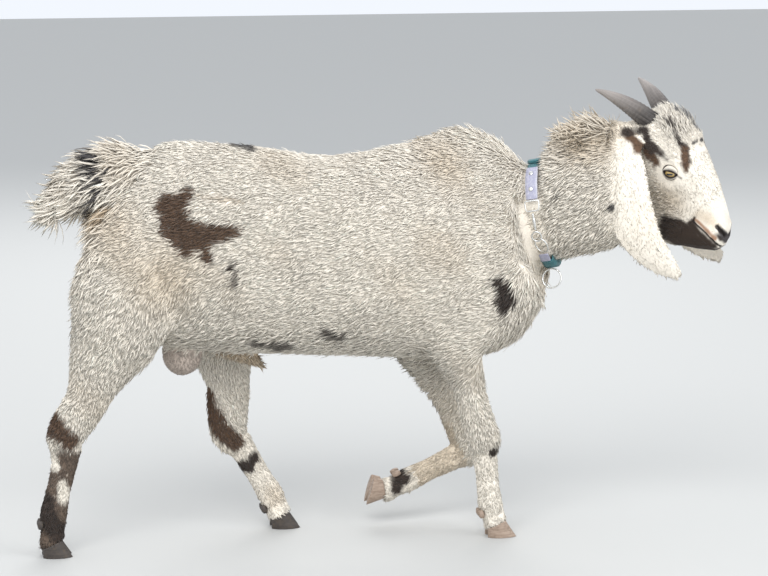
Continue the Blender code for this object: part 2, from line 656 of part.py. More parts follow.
# ---------------------------------------------------------------- collar
def collar_frame():
    """Middle of the collar, its up direction and the neck's direction through it."""
    top = Vector((COLLAR_TOP[0], COLLAR_SHIFT, COLLAR_TOP[1]))
    low = Vector((COLLAR_BOTTOM[0], COLLAR_SHIFT, COLLAR_BOTTOM[1]))
    up = (top - low).normalized()
    turned = math.radians(COLLAR_TURN)
    left = Vector((-math.sin(turned), math.cos(turned), 0.0))
    through = left.cross(up).normalized()
    return (top + low) / 2, up, through, (top - low).length / 2


def collar_point(angle, out=0.0):
    """Point of the neck under the collar, at an angle from the top down the right side, and its normal."""
    middle, up, through, half_height = collar_frame()
    a = math.radians(angle)
    right = through.cross(up)
    normal = (up * (math.cos(a) / half_height) + right * (math.sin(a) / COLLAR_HALF_WIDTH)).normalized()
    point = middle + up * (half_height * math.cos(a)) + right * (COLLAR_HALF_WIDTH * math.sin(a))
    return point + normal * out, normal


def strap_mesh(start, end, inner, outer, width, steps, closed=False):
    """Band round the neck from one angle to another, between two distances off it."""
    through = collar_frame()[2]
    rings = []
    for i in range(steps + (0 if closed else 1)):
        angle = start + (end - start) * i / steps
        low = collar_point(angle, inner)[0]
        high = collar_point(angle, outer)[0]
        half = through * (width / 2)
        rings.append([low - half, low + half, high + half, high - half])
    if not closed:
        return loft(rings)
    mesh = bmesh.new()
    layers = [[mesh.verts.new(p) for p in ring] for ring in rings]
    for k, layer in enumerate(layers):
        after = layers[(k + 1) % len(layers)]
        for i in range(4):
            j = (i + 1) % 4
            mesh.faces.new((layer[i], layer[j], after[j], after[i]))
    face_outwards(mesh)
    return mesh


def wire_loop(points, radius, sides=6):
    """Closed loop of round wire through points."""
    count = len(points)
    mesh = bmesh.new()
    flat = sum((Vector(p) for p in points), Vector()) / count
    normal = Vector()
    for k in range(count):
        normal += (Vector(points[k]) - flat).cross(Vector(points[(k + 1) % count]) - flat)
    normal.normalize()
    layers = []
    for k in range(count):
        run = (Vector(points[(k + 1) % count]) - Vector(points[k - 1])).normalized()
        out = run.cross(normal).normalized()
        layers.append([mesh.verts.new(Vector(points[k]) + out * (radius * math.cos(2 * math.pi * i / sides))
                                      + normal * (radius * math.sin(2 * math.pi * i / sides)))
                       for i in range(sides)])
    for k in range(count):
        after = layers[(k + 1) % count]
        for i in range(sides):
            j = (i + 1) % sides
            mesh.faces.new((layers[k][i], layers[k][j], after[j], after[i]))
    face_outwards(mesh)
    return mesh


def ring_points(centre, first, second, radius, count=16):
    return [Vector(centre) + Vector(first) * (radius * math.cos(2 * math.pi * i / count))
            + Vector(second) * (radius * math.sin(2 * math.pi * i / count)) for i in range(count)]


def add_straps():
    """Leather on the right, webbing round the rest of the neck, the tab at its end and the slide on top."""
    first, last = LEATHER_ARC
    tab_first, tab_last = TAB_ARC
    webbing = STRAP_THICK * 0.8
    web_arc = (tab_last + ARC_GAP, 360.0 + first - ARC_GAP)
    pieces = (
        ("collar_leather", (first, last), (0.0, STRAP_THICK), STRAP_WIDTH, 8, "leather_grey"),
        ("collar_webbing", web_arc, (0.0, webbing), STRAP_WIDTH, 26, "webbing_teal"),
        ("collar_tab", (tab_first, tab_last), (0.0, STRAP_THICK), STRAP_WIDTH * 0.8, 3, "leather_grey"),
        ("collar_slide", SLIDE_ARC, (webbing + GAP, SLIDE_HEIGHT), STRAP_WIDTH, 3, "webbing_teal"),
    )
    for name, (start, end), (inner, outer), width, steps, material in pieces:
        finish(to_object(name, strap_mesh(start, end, inner, outer, width, steps), material))
    for number, angle in zip(("upper", "lower"), RIVETS_AT):
        point, normal = collar_point(angle, STRAP_THICK + 2 * GAP)
        mesh = bmesh.new()
        base, crown, height = RIVET
        bmesh.ops.create_cone(mesh, cap_ends=True, segments=12, radius1=base, radius2=crown, depth=height)
        turn = Vector((0.0, 0.0, 1.0)).rotation_difference(normal).to_matrix().to_4x4()
        mesh.transform(Matrix.Translation(point + normal * (height / 2 + GAP)) @ turn)
        finish(to_object(f"collar_rivet_{number}", mesh, "steel"))


def add_fittings():
    """Wire frame at the leather's end, snap with its barrel and hook, and the two rings."""
    through = collar_frame()[2]
    top_bar = collar_point(FRAME_ARC[0], WIRE + 0.003)[0]
    low_bar = collar_point(FRAME_ARC[1], WIRE + 0.004)[0]
    half = through * (STRAP_WIDTH * 0.62)
    corners = [top_bar - half, top_bar + half, low_bar + half * 0.86, low_bar - half * 0.86]
    finish(to_object("collar_frame", wire_loop(rounded(corners, 0.004), WIRE), "steel"))
    start = collar_point(BARREL_ARC[0], BARREL_OUT[0])[0]
    end = collar_point(BARREL_ARC[1], BARREL_OUT[1])[0]
    mesh = tube([start.lerp(end, t) for t, r in BARREL], [(r, r) for t, r in BARREL], sides=10, count=9)
    finish(to_object("collar_snap_barrel", mesh, "steel"))
    out = collar_point(HOOK_AT)[1]
    run = (collar_point(HOOK_AT + 4.0)[0] - collar_point(HOOK_AT - 4.0)[0]).normalized()
    side = out.cross(run).normalized()
    hook_at = end + out * (RING_OUT - BARREL_OUT[1]) + run * (HOOK_RADIUS + HOOK_BEYOND)
    hook = wire_loop(ring_points(hook_at, side, run, HOOK_RADIUS), HOOK_WIRE)
    finish(to_object("collar_snap_hook", hook, "steel"))
    tilt = math.radians(RING_TILT)
    hang = (run + side * 0.28).normalized()
    leaning = out.cross(hang) * math.cos(tilt) + out * math.sin(tilt)
    ring = ring_points(hook_at + hang * RING_DROP, leaning, hang, RING_RADIUS)
    finish(to_object("collar_ring_upper", wire_loop(ring, WIRE), "steel"))
    hang_radius = RING_RADIUS * 1.2
    top, down = collar_point(HANG_AT, STRAP_THICK + WIRE + GAP)
    wide = (through - down * through.dot(down)).normalized()
    lower = ring_points(top + down * hang_radius, wide, down, hang_radius)
    finish(to_object("collar_ring_lower", wire_loop(lower, WIRE), "steel"))


def add_collar(neck):
    bed_width = STRAP_WIDTH + 2 * GAP
    bed = to_object("bed", strap_mesh(0.0, 360.0, -BED_DEPTH, BED_OUT, bed_width, 36, closed=True))
    neck = boolean(neck, bed, "DIFFERENCE")
    drop(bed)
    wide_bed = to_object("bed", strap_mesh(*FITTINGS_ARC, -BED_DEPTH, BED_OUT, FITTINGS_WIDTH, 13))
    neck = boolean(neck, wide_bed, "DIFFERENCE")
    drop(wide_bed)
    add_straps()
    add_fittings()
    return neck


def rounded(corners, radius):
    """Corner points of a loop, each replaced by a short arc."""
    points = []
    count = len(corners)
    for k in range(count):
        here = Vector(corners[k])
        back = (Vector(corners[k - 1]) - here).normalized() * radius
        ahead = (Vector(corners[(k + 1) % count]) - here).normalized() * radius
        for i in range(4):
            t = i / 3
            points.append(here + back * (1 - t) ** 2 + ahead * t ** 2)
    return points


# ---------------------------------------------------------------- whole
def finish(thing, material=None):
    """Shade smooth, and set the material if the piece has none."""
    data = thing.data
    data.shade_smooth()
    data.set_sharp_from_angle(angle=math.radians(CREASE))
    if material:
        data.materials.clear()
        data.materials.append(MATERIAL_BLOCKS[material])
    return thing


def make_material(name):
    colour, rough, metal = MATERIALS[name]
    block = bpy.data.materials.new(name)
    block.use_nodes = True
    shader = block.node_tree.nodes["Principled BSDF"]
    shader.inputs["Base Color"].default_value = (*colour, 1.0)
    shader.inputs["Roughness"].default_value = rough
    shader.inputs["Metallic"].default_value = metal
    return block


def part_at(rest, name, leg, cut, length, out=0.0):
    """Part off the rest whatever lies beyond a cut across a leg."""
    joint, fraction, half_deep, half_wide = cut
    mark, run = leg_point(leg, joint, fraction)
    matrix, half = across(mark, run, length, half_deep, half_wide)
    outwards = Matrix.Translation((0.0, LEGS[leg]["side"] * out, 0.0))
    return part_off(rest, name, outwards @ matrix, half)


def part_legs(rest):
    """Part each leg off the flesh: foot, cannon, and the leg above knee or hock."""
    for leg in LEGS:
        fore = "fore" in leg
        hair = "hair_white" if fore else "hair_brown"
        foot, rest = part_at(rest, f"{leg}_foot", leg, FOOT_CUT, 0.20)
        below = coronet_frame(leg) @ Matrix.Translation((0.0, 0.0, -0.10))
        hoof_room = cell(below, (0.15, 0.08, 0.10))
        foot = boolean(foot, hoof_room, "DIFFERENCE")
        drop(hoof_room)
        foot = add_dewclaws(leg, foot)
        foot.name = f"{leg}_foot"
        finish(foot, hair)
        cannon, rest = part_at(rest, f"{leg}_cannon", leg, CANNON_CUT, 0.16)
        finish(cannon, hair)
        shank = f"{leg}_forearm" if fore else f"{leg}_gaskin"
        upper, rest = part_at(rest, shank, leg, FOREARM_CUT if fore else GASKIN_CUT, 0.30, SHANK_CUT_OUT)
        finish(upper, "hair_white")
        add_claws(leg)
    return rest


def hanging_pieces():
    """Scrotum between the thighs and sheath along the belly, before they are fitted to the trunk."""
    mesh = bmesh.new()
    bmesh.ops.create_uvsphere(mesh, u_segments=14, v_segments=9, radius=1.0)
    mesh.transform(Matrix.Translation(SCROTUM["centre"]) @ Matrix.Diagonal((*SCROTUM["half"], 1.0)))
    scrotum = to_object("scrotum", mesh, "skin_pink")
    points = [(x, 0.0, z) for x, z, r in SHEATH]
    mesh = tube(points, [(r, r) for x, z, r in SHEATH], sides=12, count=9)
    sheath = to_object("sheath", mesh, "hair_brown")
    return scrotum, sheath


def fit_under(piece, body):
    """Trim a hanging piece by the body it hangs from, leaving a gap."""
    name = piece.name
    body_room = copy_of(body, "room", GAP)
    piece = boolean(piece, body_room, "DIFFERENCE")
    drop(body_room)
    piece.name = name
    return piece


def build():
    flesh = fused_flesh()
    rest = part_legs(flesh)
    turned = math.radians(HEAD_YAW)
    matrix, half = across(HEAD_CUT, (math.cos(turned), math.sin(turned), HEAD_CUT_RISE), 0.36, 0.24, 0.20)
    head, rest = part_off(rest, "head", matrix, half)
    middle, up, through, half_height = collar_frame()
    matrix, half = across(middle - through * NECK_BEHIND_COLLAR, through, 0.40, 0.24, 0.20)
    neck, rest = part_off(rest, "neck", matrix, half)
    mark = Vector((TAIL_CUT[0], 0.0, TAIL_CUT[1]))
    matrix, half = across(mark, TAIL_CUT_DIRECTION, 0.26, *TAIL_CUT_HALF)
    tail, rest = part_off(rest, "tail", matrix, half)
    finish(tail, "hair_white")
    for piece in hanging_pieces():
        finish(fit_under(piece, rest))
    head, neck = add_head_pieces(head, neck)
    neck = add_collar(neck)
    for thing, name in ((head, "head"), (neck, "neck"), (rest, "trunk")):
        thing.name = name
        finish(thing, "hair_white")


def centre_on_origin():
    """Move everything so that the origin is the middle of the model's box, on the ground."""
    meshes = [thing.data for thing in bpy.data.objects]
    points = [v.co for mesh in meshes for v in mesh.vertices]
    shift = []
    for axis in range(2):
        values = [p[axis] for p in points]
        shift.append(-(min(values) + max(values)) / 2)
    shift.append(-min(p[2] for p in points))
    for mesh in meshes:
        mesh.transform(Matrix.Translation(shift))


for old in list(bpy.data.objects):
    bpy.data.objects.remove(old, do_unlink=True)
MATERIAL_BLOCKS = {name: make_material(name) for name in MATERIALS}
build()
centre_on_origin()
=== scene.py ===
"""Dresses the walking buck goat: one skin, its coat of tufts, eyes, horns, hooves and collar.

The goat faces +X, its left side is +Y and the floor is z = 0. Sizes are metres and angles degrees.
"""
import json
import logging
import math
from dataclasses import dataclass, field
from enum import Enum

import bmesh
import bpy
import numpy as np
from mathutils import Matrix, Vector
from mathutils.bvhtree import BVHTree

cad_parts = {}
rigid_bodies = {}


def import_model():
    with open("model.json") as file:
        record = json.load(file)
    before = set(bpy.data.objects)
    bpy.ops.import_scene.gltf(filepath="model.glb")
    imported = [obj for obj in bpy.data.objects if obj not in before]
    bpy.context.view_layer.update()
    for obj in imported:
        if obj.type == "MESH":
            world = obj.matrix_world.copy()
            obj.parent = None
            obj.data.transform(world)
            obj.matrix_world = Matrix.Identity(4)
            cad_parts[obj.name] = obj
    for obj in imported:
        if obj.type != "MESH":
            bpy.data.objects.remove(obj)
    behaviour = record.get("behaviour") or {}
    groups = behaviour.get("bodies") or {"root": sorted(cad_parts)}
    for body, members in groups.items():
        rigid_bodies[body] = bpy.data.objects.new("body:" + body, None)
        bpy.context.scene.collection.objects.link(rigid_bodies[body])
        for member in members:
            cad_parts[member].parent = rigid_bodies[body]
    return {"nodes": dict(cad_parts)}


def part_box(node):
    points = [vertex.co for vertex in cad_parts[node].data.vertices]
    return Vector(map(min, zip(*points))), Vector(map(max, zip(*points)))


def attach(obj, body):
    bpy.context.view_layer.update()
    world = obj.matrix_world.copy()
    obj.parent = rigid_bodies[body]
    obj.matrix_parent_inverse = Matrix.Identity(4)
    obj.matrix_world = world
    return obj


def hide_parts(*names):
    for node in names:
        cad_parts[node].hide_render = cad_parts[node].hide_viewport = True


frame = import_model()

LOG = logging.getLogger("goat")
BODY = "root"
SEED = 7

LEGS = ("foreleg_left", "foreleg_right", "hindleg_left", "hindleg_right")

class Side(Enum):
    """Which side of the goat something is on."""

    RIGHT = -1
    LEFT = 1
    BOTH = 0

# ---------------------------------------------------------------- small tools
def rows(values: list) -> np.ndarray:
    """Gives a list of tuples as an array of floats."""
    return np.array(values, float)

def unit(vectors: np.ndarray) -> np.ndarray:
    """Gives vectors of length one along the last axis."""
    return vectors / np.maximum(np.linalg.norm(vectors, axis=-1, keepdims=True), 1e-12)

def ramp(values: np.ndarray, low: float, high: float) -> np.ndarray:
    """Smooth step from 0 at low to 1 at high; high may lie below low."""
    t = np.clip((values - low) / (high - low), 0.0, 1.0)
    return t * t * (3.0 - 2.0 * t)

def ripple(points: np.ndarray, scale: float) -> np.ndarray:
    """Smooth irregular field between about -1 and 1, for edges that wander.

    Args:
        points: places, one row each.
        scale: rough size of its waves in metres.

    Returns:
        One value for each place.
    """
    p = points / scale
    x, y, z = p[:, 0], p[:, 1], p[:, 2]
    wave = np.sin(2.1 * x + 1.3 * np.sin(1.7 * z + 0.4)) + np.sin(2.7 * z + 1.9 * np.sin(1.3 * y + 1.1))
    wave += np.sin(1.9 * y - 1.4 * x + 2.0 * np.sin(0.9 * z)) + np.sin(4.3 * x + 3.9 * z + 1.5)
    return wave / 4.0

def new_object(name: str, data: bpy.types.Mesh) -> bpy.types.Object:
    """Links a mesh to the scene as a named object."""
    made = bpy.data.objects.new(name, data)
    bpy.context.scene.collection.objects.link(made)
    return made

def coordinates(data: bpy.types.Mesh) -> np.ndarray:
    """Reads a mesh's points as an array."""
    flat = np.empty(len(data.vertices) * 3, np.float32)
    data.vertices.foreach_get("co", flat)
    return flat.reshape(-1, 3).astype(float)

def place(data: bpy.types.Mesh, points: np.ndarray) -> None:
    """Moves a mesh's points to new places."""
    data.vertices.foreach_set("co", points.astype(np.float32).ravel())
    data.update()

def point_colours(data: bpy.types.Mesh, name: str, colours: np.ndarray) -> None:
    """Stores a colour for each point of a mesh."""
    layer = data.color_attributes.new(name, "FLOAT_COLOR", "POINT")
    full = np.ones((len(colours), 4), np.float32)
    full[:, :3] = colours
    layer.data.foreach_set("color", full.ravel())

def point_vectors(data: bpy.types.Mesh, name: str, vectors: np.ndarray) -> None:
    """Stores a vector for each point of a mesh."""
    layer = data.attributes.new(name, "FLOAT_VECTOR", "POINT")
    layer.data.foreach_set("vector", vectors.astype(np.float32).ravel())

def evaluated_mesh(thing: bpy.types.Object) -> bpy.types.Mesh:
    """Gives the plain mesh of an object with its modifiers applied."""
    bpy.context.view_layer.update()
    graph = bpy.context.evaluated_depsgraph_get()
    return bpy.data.meshes.new_from_object(thing.evaluated_get(graph))

def settle(thing: bpy.types.Object, material: bpy.types.Material, nodes: tuple = ()) -> None:
    """Gives a finished piece its material and its place in the goat's frame.

    Args:
        thing: the piece, already at its place.
        material: its finish.
        nodes: solid nodes that it stands for.
    """
    thing.data.materials.clear()
    thing.data.materials.append(material)
    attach(thing, BODY)
    if nodes:
        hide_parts(*nodes)
    LOG.info("%s: %d faces", thing.name, len(thing.data.polygons))

# ---------------------------------------------------------------- frames
@dataclass
class HeadFrame:
    """The head's own axes: f forward along the muzzle, v to the goat's left, u up from the eyes."""

    yaw: float = -37.0
    nod: float = 51.0
    lean: float = 8.0
    eye: tuple[float, float, float] = (0.007, 0.0495, 0.013)
    origin: np.ndarray = field(default_factory=lambda: np.zeros(3))
    axes: np.ndarray = field(default_factory=lambda: np.eye(3))

    def fit(self) -> "HeadFrame":
        """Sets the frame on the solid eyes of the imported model."""
        turn = Matrix.Rotation(math.radians(self.yaw), 3, "Z")
        turn = turn @ Matrix.Rotation(math.radians(self.nod), 3, "Y")
        turn = turn @ Matrix.Rotation(math.radians(self.lean), 3, "X")
        self.axes = np.array(turn)
        low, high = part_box("eye_right")
        right = np.array((low + high) / 2)
        local = np.array((self.eye[0], -self.eye[1], self.eye[2]))
        self.origin = right - self.axes @ local
        return self

    def local(self, points: np.ndarray) -> np.ndarray:
        """Gives places in the head's own axes."""
        return (points - self.origin) @ self.axes

    def world(self, points: np.ndarray) -> np.ndarray:
        """Gives places of the head's own axes in the goat's frame."""
        return points @ self.axes.T + self.origin

    def turn(self, vectors: np.ndarray) -> np.ndarray:
        """Turns directions of the head's own axes into the goat's frame."""
        return vectors @ self.axes.T

HEAD = HeadFrame()

# ---------------------------------------------------------------- finishes
def socket(node: bpy.types.Node, name: str, value: object) -> None:
    """Sets one input of a node by its name."""
    node.inputs[name].default_value = value

class Paint:
    """Builds one material's nodes, one short call for each."""

    def __init__(self, name: str) -> None:
        """Starts an empty Principled material."""
        self.block = bpy.data.materials.new(name)
        self.block.use_nodes = True
        self.tree = self.block.node_tree
        self.shader = self.tree.nodes["Principled BSDF"]

    def node(self, kind: str, **inputs: object) -> bpy.types.Node:
        """Adds a node; keyword names are its inputs with underscores for spaces."""
        made = self.tree.nodes.new(kind)
        for name, value in inputs.items():
            plug = made.inputs[name.replace("_", " ")]
            if isinstance(value, bpy.types.NodeSocket):
                self.tree.links.new(value, plug)
            else:
                plug.default_value = value
        return made

    def attribute(self, name: str) -> bpy.types.Node:
        """Adds a node that reads a point attribute."""
        made = self.tree.nodes.new("ShaderNodeAttribute")
        made.attribute_name = name
        return made

    def math(self, operation: str, first: object, second: object = 0.0) -> bpy.types.NodeSocket:
        """Adds one sum and gives its result."""
        made = self.tree.nodes.new("ShaderNodeMath")
        made.operation = operation
        for plug, value in zip(made.inputs, (first, second)):
            if isinstance(value, bpy.types.NodeSocket):
                self.tree.links.new(value, plug)
            else:
                plug.default_value = value
        return made.outputs[0]

    def blend(self, share: object, first: object, second: object) -> bpy.types.NodeSocket:
        """Mixes two colours by a share and gives the result."""
        made = self.tree.nodes.new("ShaderNodeMix")
        made.data_type = "RGBA"
        for plug, value in zip((made.inputs[0], made.inputs[6], made.inputs[7]), (share, first, second)):
            if isinstance(value, bpy.types.NodeSocket):
                self.tree.links.new(value, plug)
            else:
                plug.default_value = value if isinstance(value, float) else (*value, 1.0)
        return made.outputs[2]

    def noise(self, vector: bpy.types.NodeSocket, scale: float, detail: float = 3.0) -> bpy.types.NodeSocket:
        """Adds a noise pattern and gives its value."""
        made = self.node("ShaderNodeTexNoise", Vector=vector, Scale=scale, Detail=detail)
        return made.outputs[0]

    def spread(self, value: bpy.types.NodeSocket, low: float, high: float,
               to_low: float, to_high: float) -> bpy.types.NodeSocket:
        """Maps a value from one range to another, held at its ends."""
        made = self.tree.nodes.new("ShaderNodeMapRange")
        self.tree.links.new(value, made.inputs[0])
        for plug, number in zip(list(made.inputs)[1:5], (low, high, to_low, to_high)):
            plug.default_value = number
        return made.outputs[0]

    def objects(self) -> bpy.types.NodeSocket:
        """Gives the object's own coordinates."""
        return self.tree.nodes.new("ShaderNodeTexCoord").outputs["Object"]

    def stretched(self, vector: bpy.types.NodeSocket, scale: tuple) -> bpy.types.NodeSocket:
        """Gives a vector scaled by a factor on each axis."""
        made = self.node("ShaderNodeMapping", Vector=vector)
        socket(made, "Scale", scale)
        return made.outputs[0]

    def uv(self, name: str) -> bpy.types.NodeSocket:
        """Gives the coordinates of a named UV map."""
        made = self.tree.nodes.new("ShaderNodeUVMap")
        made.uv_map = name
        return made.outputs[0]

    def surface(self, colour: object, **settings: float) -> "Paint":
        """Sets the shader's colour and its plain settings, named with underscores for spaces."""
        plug = self.shader.inputs["Base Color"]
        if isinstance(colour, bpy.types.NodeSocket):
            self.tree.links.new(colour, plug)
        else:
            plug.default_value = (*colour, 1.0)
        for name, value in settings.items():
            socket(self.shader, name.replace("_", " "), value)
        return self

    def rough(self, value: bpy.types.NodeSocket) -> "Paint":
        """Links the shader's roughness."""
        self.tree.links.new(value, self.shader.inputs["Roughness"])
        return self

    def bump(self, height: bpy.types.NodeSocket, depth: float, strength: float = 1.0) -> "Paint":
        """Adds relief of a real depth in metres."""
        made = self.node("ShaderNodeBump", Height=height, Distance=depth, Strength=strength)
        self.tree.links.new(made.outputs[0], self.shader.inputs["Normal"])
        return self

@dataclass(frozen=True)
class HairFinish:
    """Locks of hair: the coat's own colour with fine strands along each lock."""

    name: str = "hair_locks"
    roughness: float = 0.72
    sheen: float = 0.15

    def make(self) -> bpy.types.Material:
        """Builds the material."""
        paint = Paint(self.name)
        strand = paint.noise(paint.stretched(paint.uv("Strand"), (9.0, 0.7, 1.0)), 1.0, 2.0)
        shade = paint.spread(strand, 0.3, 0.7, 0.80, 1.06)
        tone = paint.node("ShaderNodeVectorMath")
        tone.operation = "SCALE"
        paint.tree.links.new(paint.attribute("coat").outputs["Color"], tone.inputs[0])
        paint.tree.links.new(shade, tone.inputs["Scale"])
        paint.surface(tone.outputs[0], Roughness=self.roughness, Sheen_Weight=self.sheen, Sheen_Roughness=0.4,
                      Specular_IOR_Level=0.3)
        return paint.bump(strand, 0.0006).block

@dataclass(frozen=True)
class SkinFinish:
    """Skin under the coat: the same markings with short hair as relief."""

    name: str = "skin_with_short_hair"
    roughness: float = 0.75

    def make(self) -> bpy.types.Material:
        """Builds the material."""
        paint = Paint(self.name)
        spot = paint.objects()
        fine = paint.noise(paint.stretched(spot, (1.0, 1.0, 0.35)), 900.0, 3.0)
        broad = paint.noise(spot, 60.0, 3.0)
        shade = paint.math("MULTIPLY", paint.spread(fine, 0.3, 0.7, 0.82, 1.08),
                           paint.spread(broad, 0.3, 0.7, 0.92, 1.05))
        tone = paint.node("ShaderNodeVectorMath")
        tone.operation = "SCALE"
        paint.tree.links.new(paint.attribute("coat").outputs["Color"], tone.inputs[0])
        paint.tree.links.new(shade, tone.inputs["Scale"])
        paint.surface(tone.outputs[0], Roughness=self.roughness, Specular_IOR_Level=0.3)
        return paint.bump(fine, 0.0005).block

@dataclass(frozen=True)
class HornFinish:
    """Grey horn, darker at its base, with lengthwise streaks and growth rings."""

    name: str = "grey_horn"
    base: tuple[float, float, float] = (0.035, 0.031, 0.029)
    tip: tuple[float, float, float] = (0.30, 0.27, 0.25)

    def make(self) -> bpy.types.Material:
        """Builds the material."""
        paint = Paint(self.name)
        grown = paint.attribute("grown")
        along = paint.node("ShaderNodeSeparateXYZ", Vector=grown.outputs["Vector"])
        streak = paint.noise(paint.stretched(grown.outputs["Vector"], (26.0, 26.0, 3.0)), 1.0, 4.0)
        cloud = paint.noise(paint.objects(), 90.0, 4.0)
        share = paint.math("ADD", paint.spread(along.outputs[2], 0.10, 0.80, 0.0, 1.0),
                           paint.spread(streak, 0.3, 0.7, -0.25, 0.25))
        colour = paint.blend(paint.spread(share, 0.0, 1.0, 0.0, 1.0), self.base, self.tip)
        colour = paint.blend(paint.spread(cloud, 0.55, 0.75, 0.0, 0.35), colour, (0.16, 0.12, 0.09))
        paint.surface(colour, Roughness=0.5, Specular_IOR_Level=0.35)
        return paint.bump(streak, 0.0006).block

@dataclass(frozen=True)
class HoofFinish:
    """Hoof horn with growth lines round it and a little dirt."""

    name: str
    colour: tuple[float, float, float]
    dark: tuple[float, float, float]

    def make(self) -> bpy.types.Material:
        """Builds the material."""
        paint = Paint(self.name)
        spot = paint.objects()
        grown = paint.attribute("grown").outputs["Vector"]
        lines = paint.noise(paint.stretched(grown, (2.0, 2.0, 30.0)), 1.0, 3.0)
        dirt = paint.noise(spot, 160.0, 5.0)
        colour = paint.blend(paint.spread(lines, 0.35, 0.65, 0.0, 0.7), self.colour, self.dark)
        colour = paint.blend(paint.spread(dirt, 0.5, 0.7, 0.0, 0.4), colour, (0.12, 0.09, 0.06))
        paint.surface(colour, Specular_IOR_Level=0.4)
        paint.rough(paint.spread(dirt, 0.3, 0.7, 0.42, 0.65))
        return paint.bump(lines, 0.0005).block

@dataclass(frozen=True)
class EyeFinish:
    """Wet eye: pale amber iris with fine rays, a level slot of a pupil and a dark rim."""

    name: str = "amber_eye"
    iris: tuple[float, float, float] = (0.52, 0.37, 0.13)
    inner: tuple[float, float, float] = (0.24, 0.15, 0.05)
    rim: tuple[float, float, float] = (0.03, 0.018, 0.012)
    pupil_half: tuple[float, float] = (0.40, 0.13)
    iris_radius: float = 0.66

    def make(self) -> bpy.types.Material:
        """Builds the material."""
        paint = Paint(self.name)
        gaze = paint.attribute("gaze").outputs["Vector"]
        parts = paint.node("ShaderNodeSeparateXYZ", Vector=gaze)
        level = parts.outputs[0]
        upright = parts.outputs[1]
        reach = paint.math("SQRT", paint.math("ADD", paint.math("MULTIPLY", level, level),
                                              paint.math("MULTIPLY", upright, upright)))
        turn = paint.math("ARCTAN2", upright, level)
        ray_at = paint.node("ShaderNodeCombineXYZ", X=paint.math("MULTIPLY", turn, 7.0),
                            Y=paint.math("MULTIPLY", reach, 3.0))
        rays = paint.noise(ray_at.outputs[0], 3.0, 3.0)
        colour = paint.blend(paint.spread(rays, 0.35, 0.65, 0.0, 0.75), self.iris, self.inner)
        colour = paint.blend(paint.spread(reach, self.iris_radius - 0.10, self.iris_radius, 0.0, 1.0),
                             colour, self.rim)
        wide = paint.math("DIVIDE", paint.math("ABSOLUTE", level), self.pupil_half[0])
        tall = paint.math("DIVIDE", paint.math("ABSOLUTE", upright), self.pupil_half[1])
        slot = paint.math("ADD", paint.math("POWER", wide, 4.0), paint.math("POWER", tall, 4.0))
        colour = paint.blend(paint.spread(slot, 0.8, 1.15, 1.0, 0.0), colour, (0.004, 0.004, 0.006))
        return paint.surface(colour, Roughness=0.12, Coat_Weight=1.0, Coat_Roughness=0.03,
                             Specular_IOR_Level=0.5).block

@dataclass(frozen=True)
class WebbingFinish:
    """Flat woven strap: rows of yarn across and along it, with painted shade in the hollows between the yarns."""

    name: str
    colour: tuple[float, float, float]
    yarn: float = 0.0012

    def make(self) -> bpy.types.Material:
        """Builds the material."""
        paint = Paint(self.name)
        parts = paint.node("ShaderNodeSeparateXYZ", Vector=paint.uv("Strap"))
        turn = 2.0 * math.pi / self.yarn
        across = paint.math("SINE", paint.math("MULTIPLY", parts.outputs[0], turn))
        along = paint.math("SINE", paint.math("MULTIPLY", parts.outputs[1], turn / 1.6))
        weave = paint.math("MULTIPLY", across, along)
        fuzz = paint.noise(paint.objects(), 1400.0, 2.0)
        dirt = paint.noise(paint.objects(), 45.0, 4.0)
        # Painted shade: where the weave sinks in the bump, the colour falls to 45 % of the yarn's.
        dark = tuple(0.45 * c for c in self.colour)
        colour = paint.blend(paint.spread(weave, -0.8, 0.8, 0.0, 1.0), dark, self.colour)
        colour = paint.blend(paint.spread(dirt, 0.5, 0.75, 0.0, 0.35), colour, (0.20, 0.18, 0.15))
        paint.surface(colour, Roughness=0.85, Sheen_Weight=0.2)
        relief = paint.math("ADD", weave, paint.math("MULTIPLY", fuzz, 0.8))
        return paint.bump(relief, 0.0003).block

@dataclass(frozen=True)
class LeatherFinish:
    """Worn coated strap with fine grain and scuffed edges."""

    name: str = "grey_strap"
    colour: tuple[float, float, float] = (0.34, 0.34, 0.44)
    worn: tuple[float, float, float] = (0.56, 0.55, 0.60)

    def make(self) -> bpy.types.Material:
        """Builds the material."""
        paint = Paint(self.name)
        spot = paint.objects()
        grain = paint.node("ShaderNodeTexVoronoi", Vector=spot, Scale=1300.0).outputs[0]
        scuff = paint.noise(spot, 220.0, 5.0)
        parts = paint.node("ShaderNodeSeparateXYZ", Vector=paint.uv("Strap"))
        edge = paint.spread(paint.math("ABSOLUTE", parts.outputs[0]), 0.0095, 0.0125, 0.0, 0.8)
        share = paint.math("ADD", edge, paint.spread(scuff, 0.45, 0.7, 0.0, 0.6))
        colour = paint.blend(paint.spread(share, 0.0, 1.0, 0.0, 1.0), self.colour, self.worn)
        paint.surface(colour, Specular_IOR_Level=0.4)
        paint.rough(paint.spread(scuff, 0.3, 0.7, 0.48, 0.68))
        return paint.bump(grain, 0.0002).block

@dataclass(frozen=True)
class SteelFinish:
    """Plated steel, bright with dull patches and fine scratches."""

    name: str = "plated_steel"
    colour: tuple[float, float, float] = (0.72, 0.72, 0.70)

    def make(self) -> bpy.types.Material:
        """Builds the material."""
        paint = Paint(self.name)
        spot = paint.objects()
        dull = paint.noise(spot, 300.0, 5.0)
        scratch = paint.noise(paint.stretched(spot, (1.0, 1.0, 6.0)), 2500.0, 2.0)
        colour = paint.blend(paint.spread(dull, 0.5, 0.75, 0.0, 0.6), self.colour, (0.38, 0.35, 0.31))
        paint.surface(colour, Metallic=1.0)
        paint.rough(paint.spread(dull, 0.3, 0.7, 0.20, 0.48))
        return paint.bump(scratch, 0.00004).block

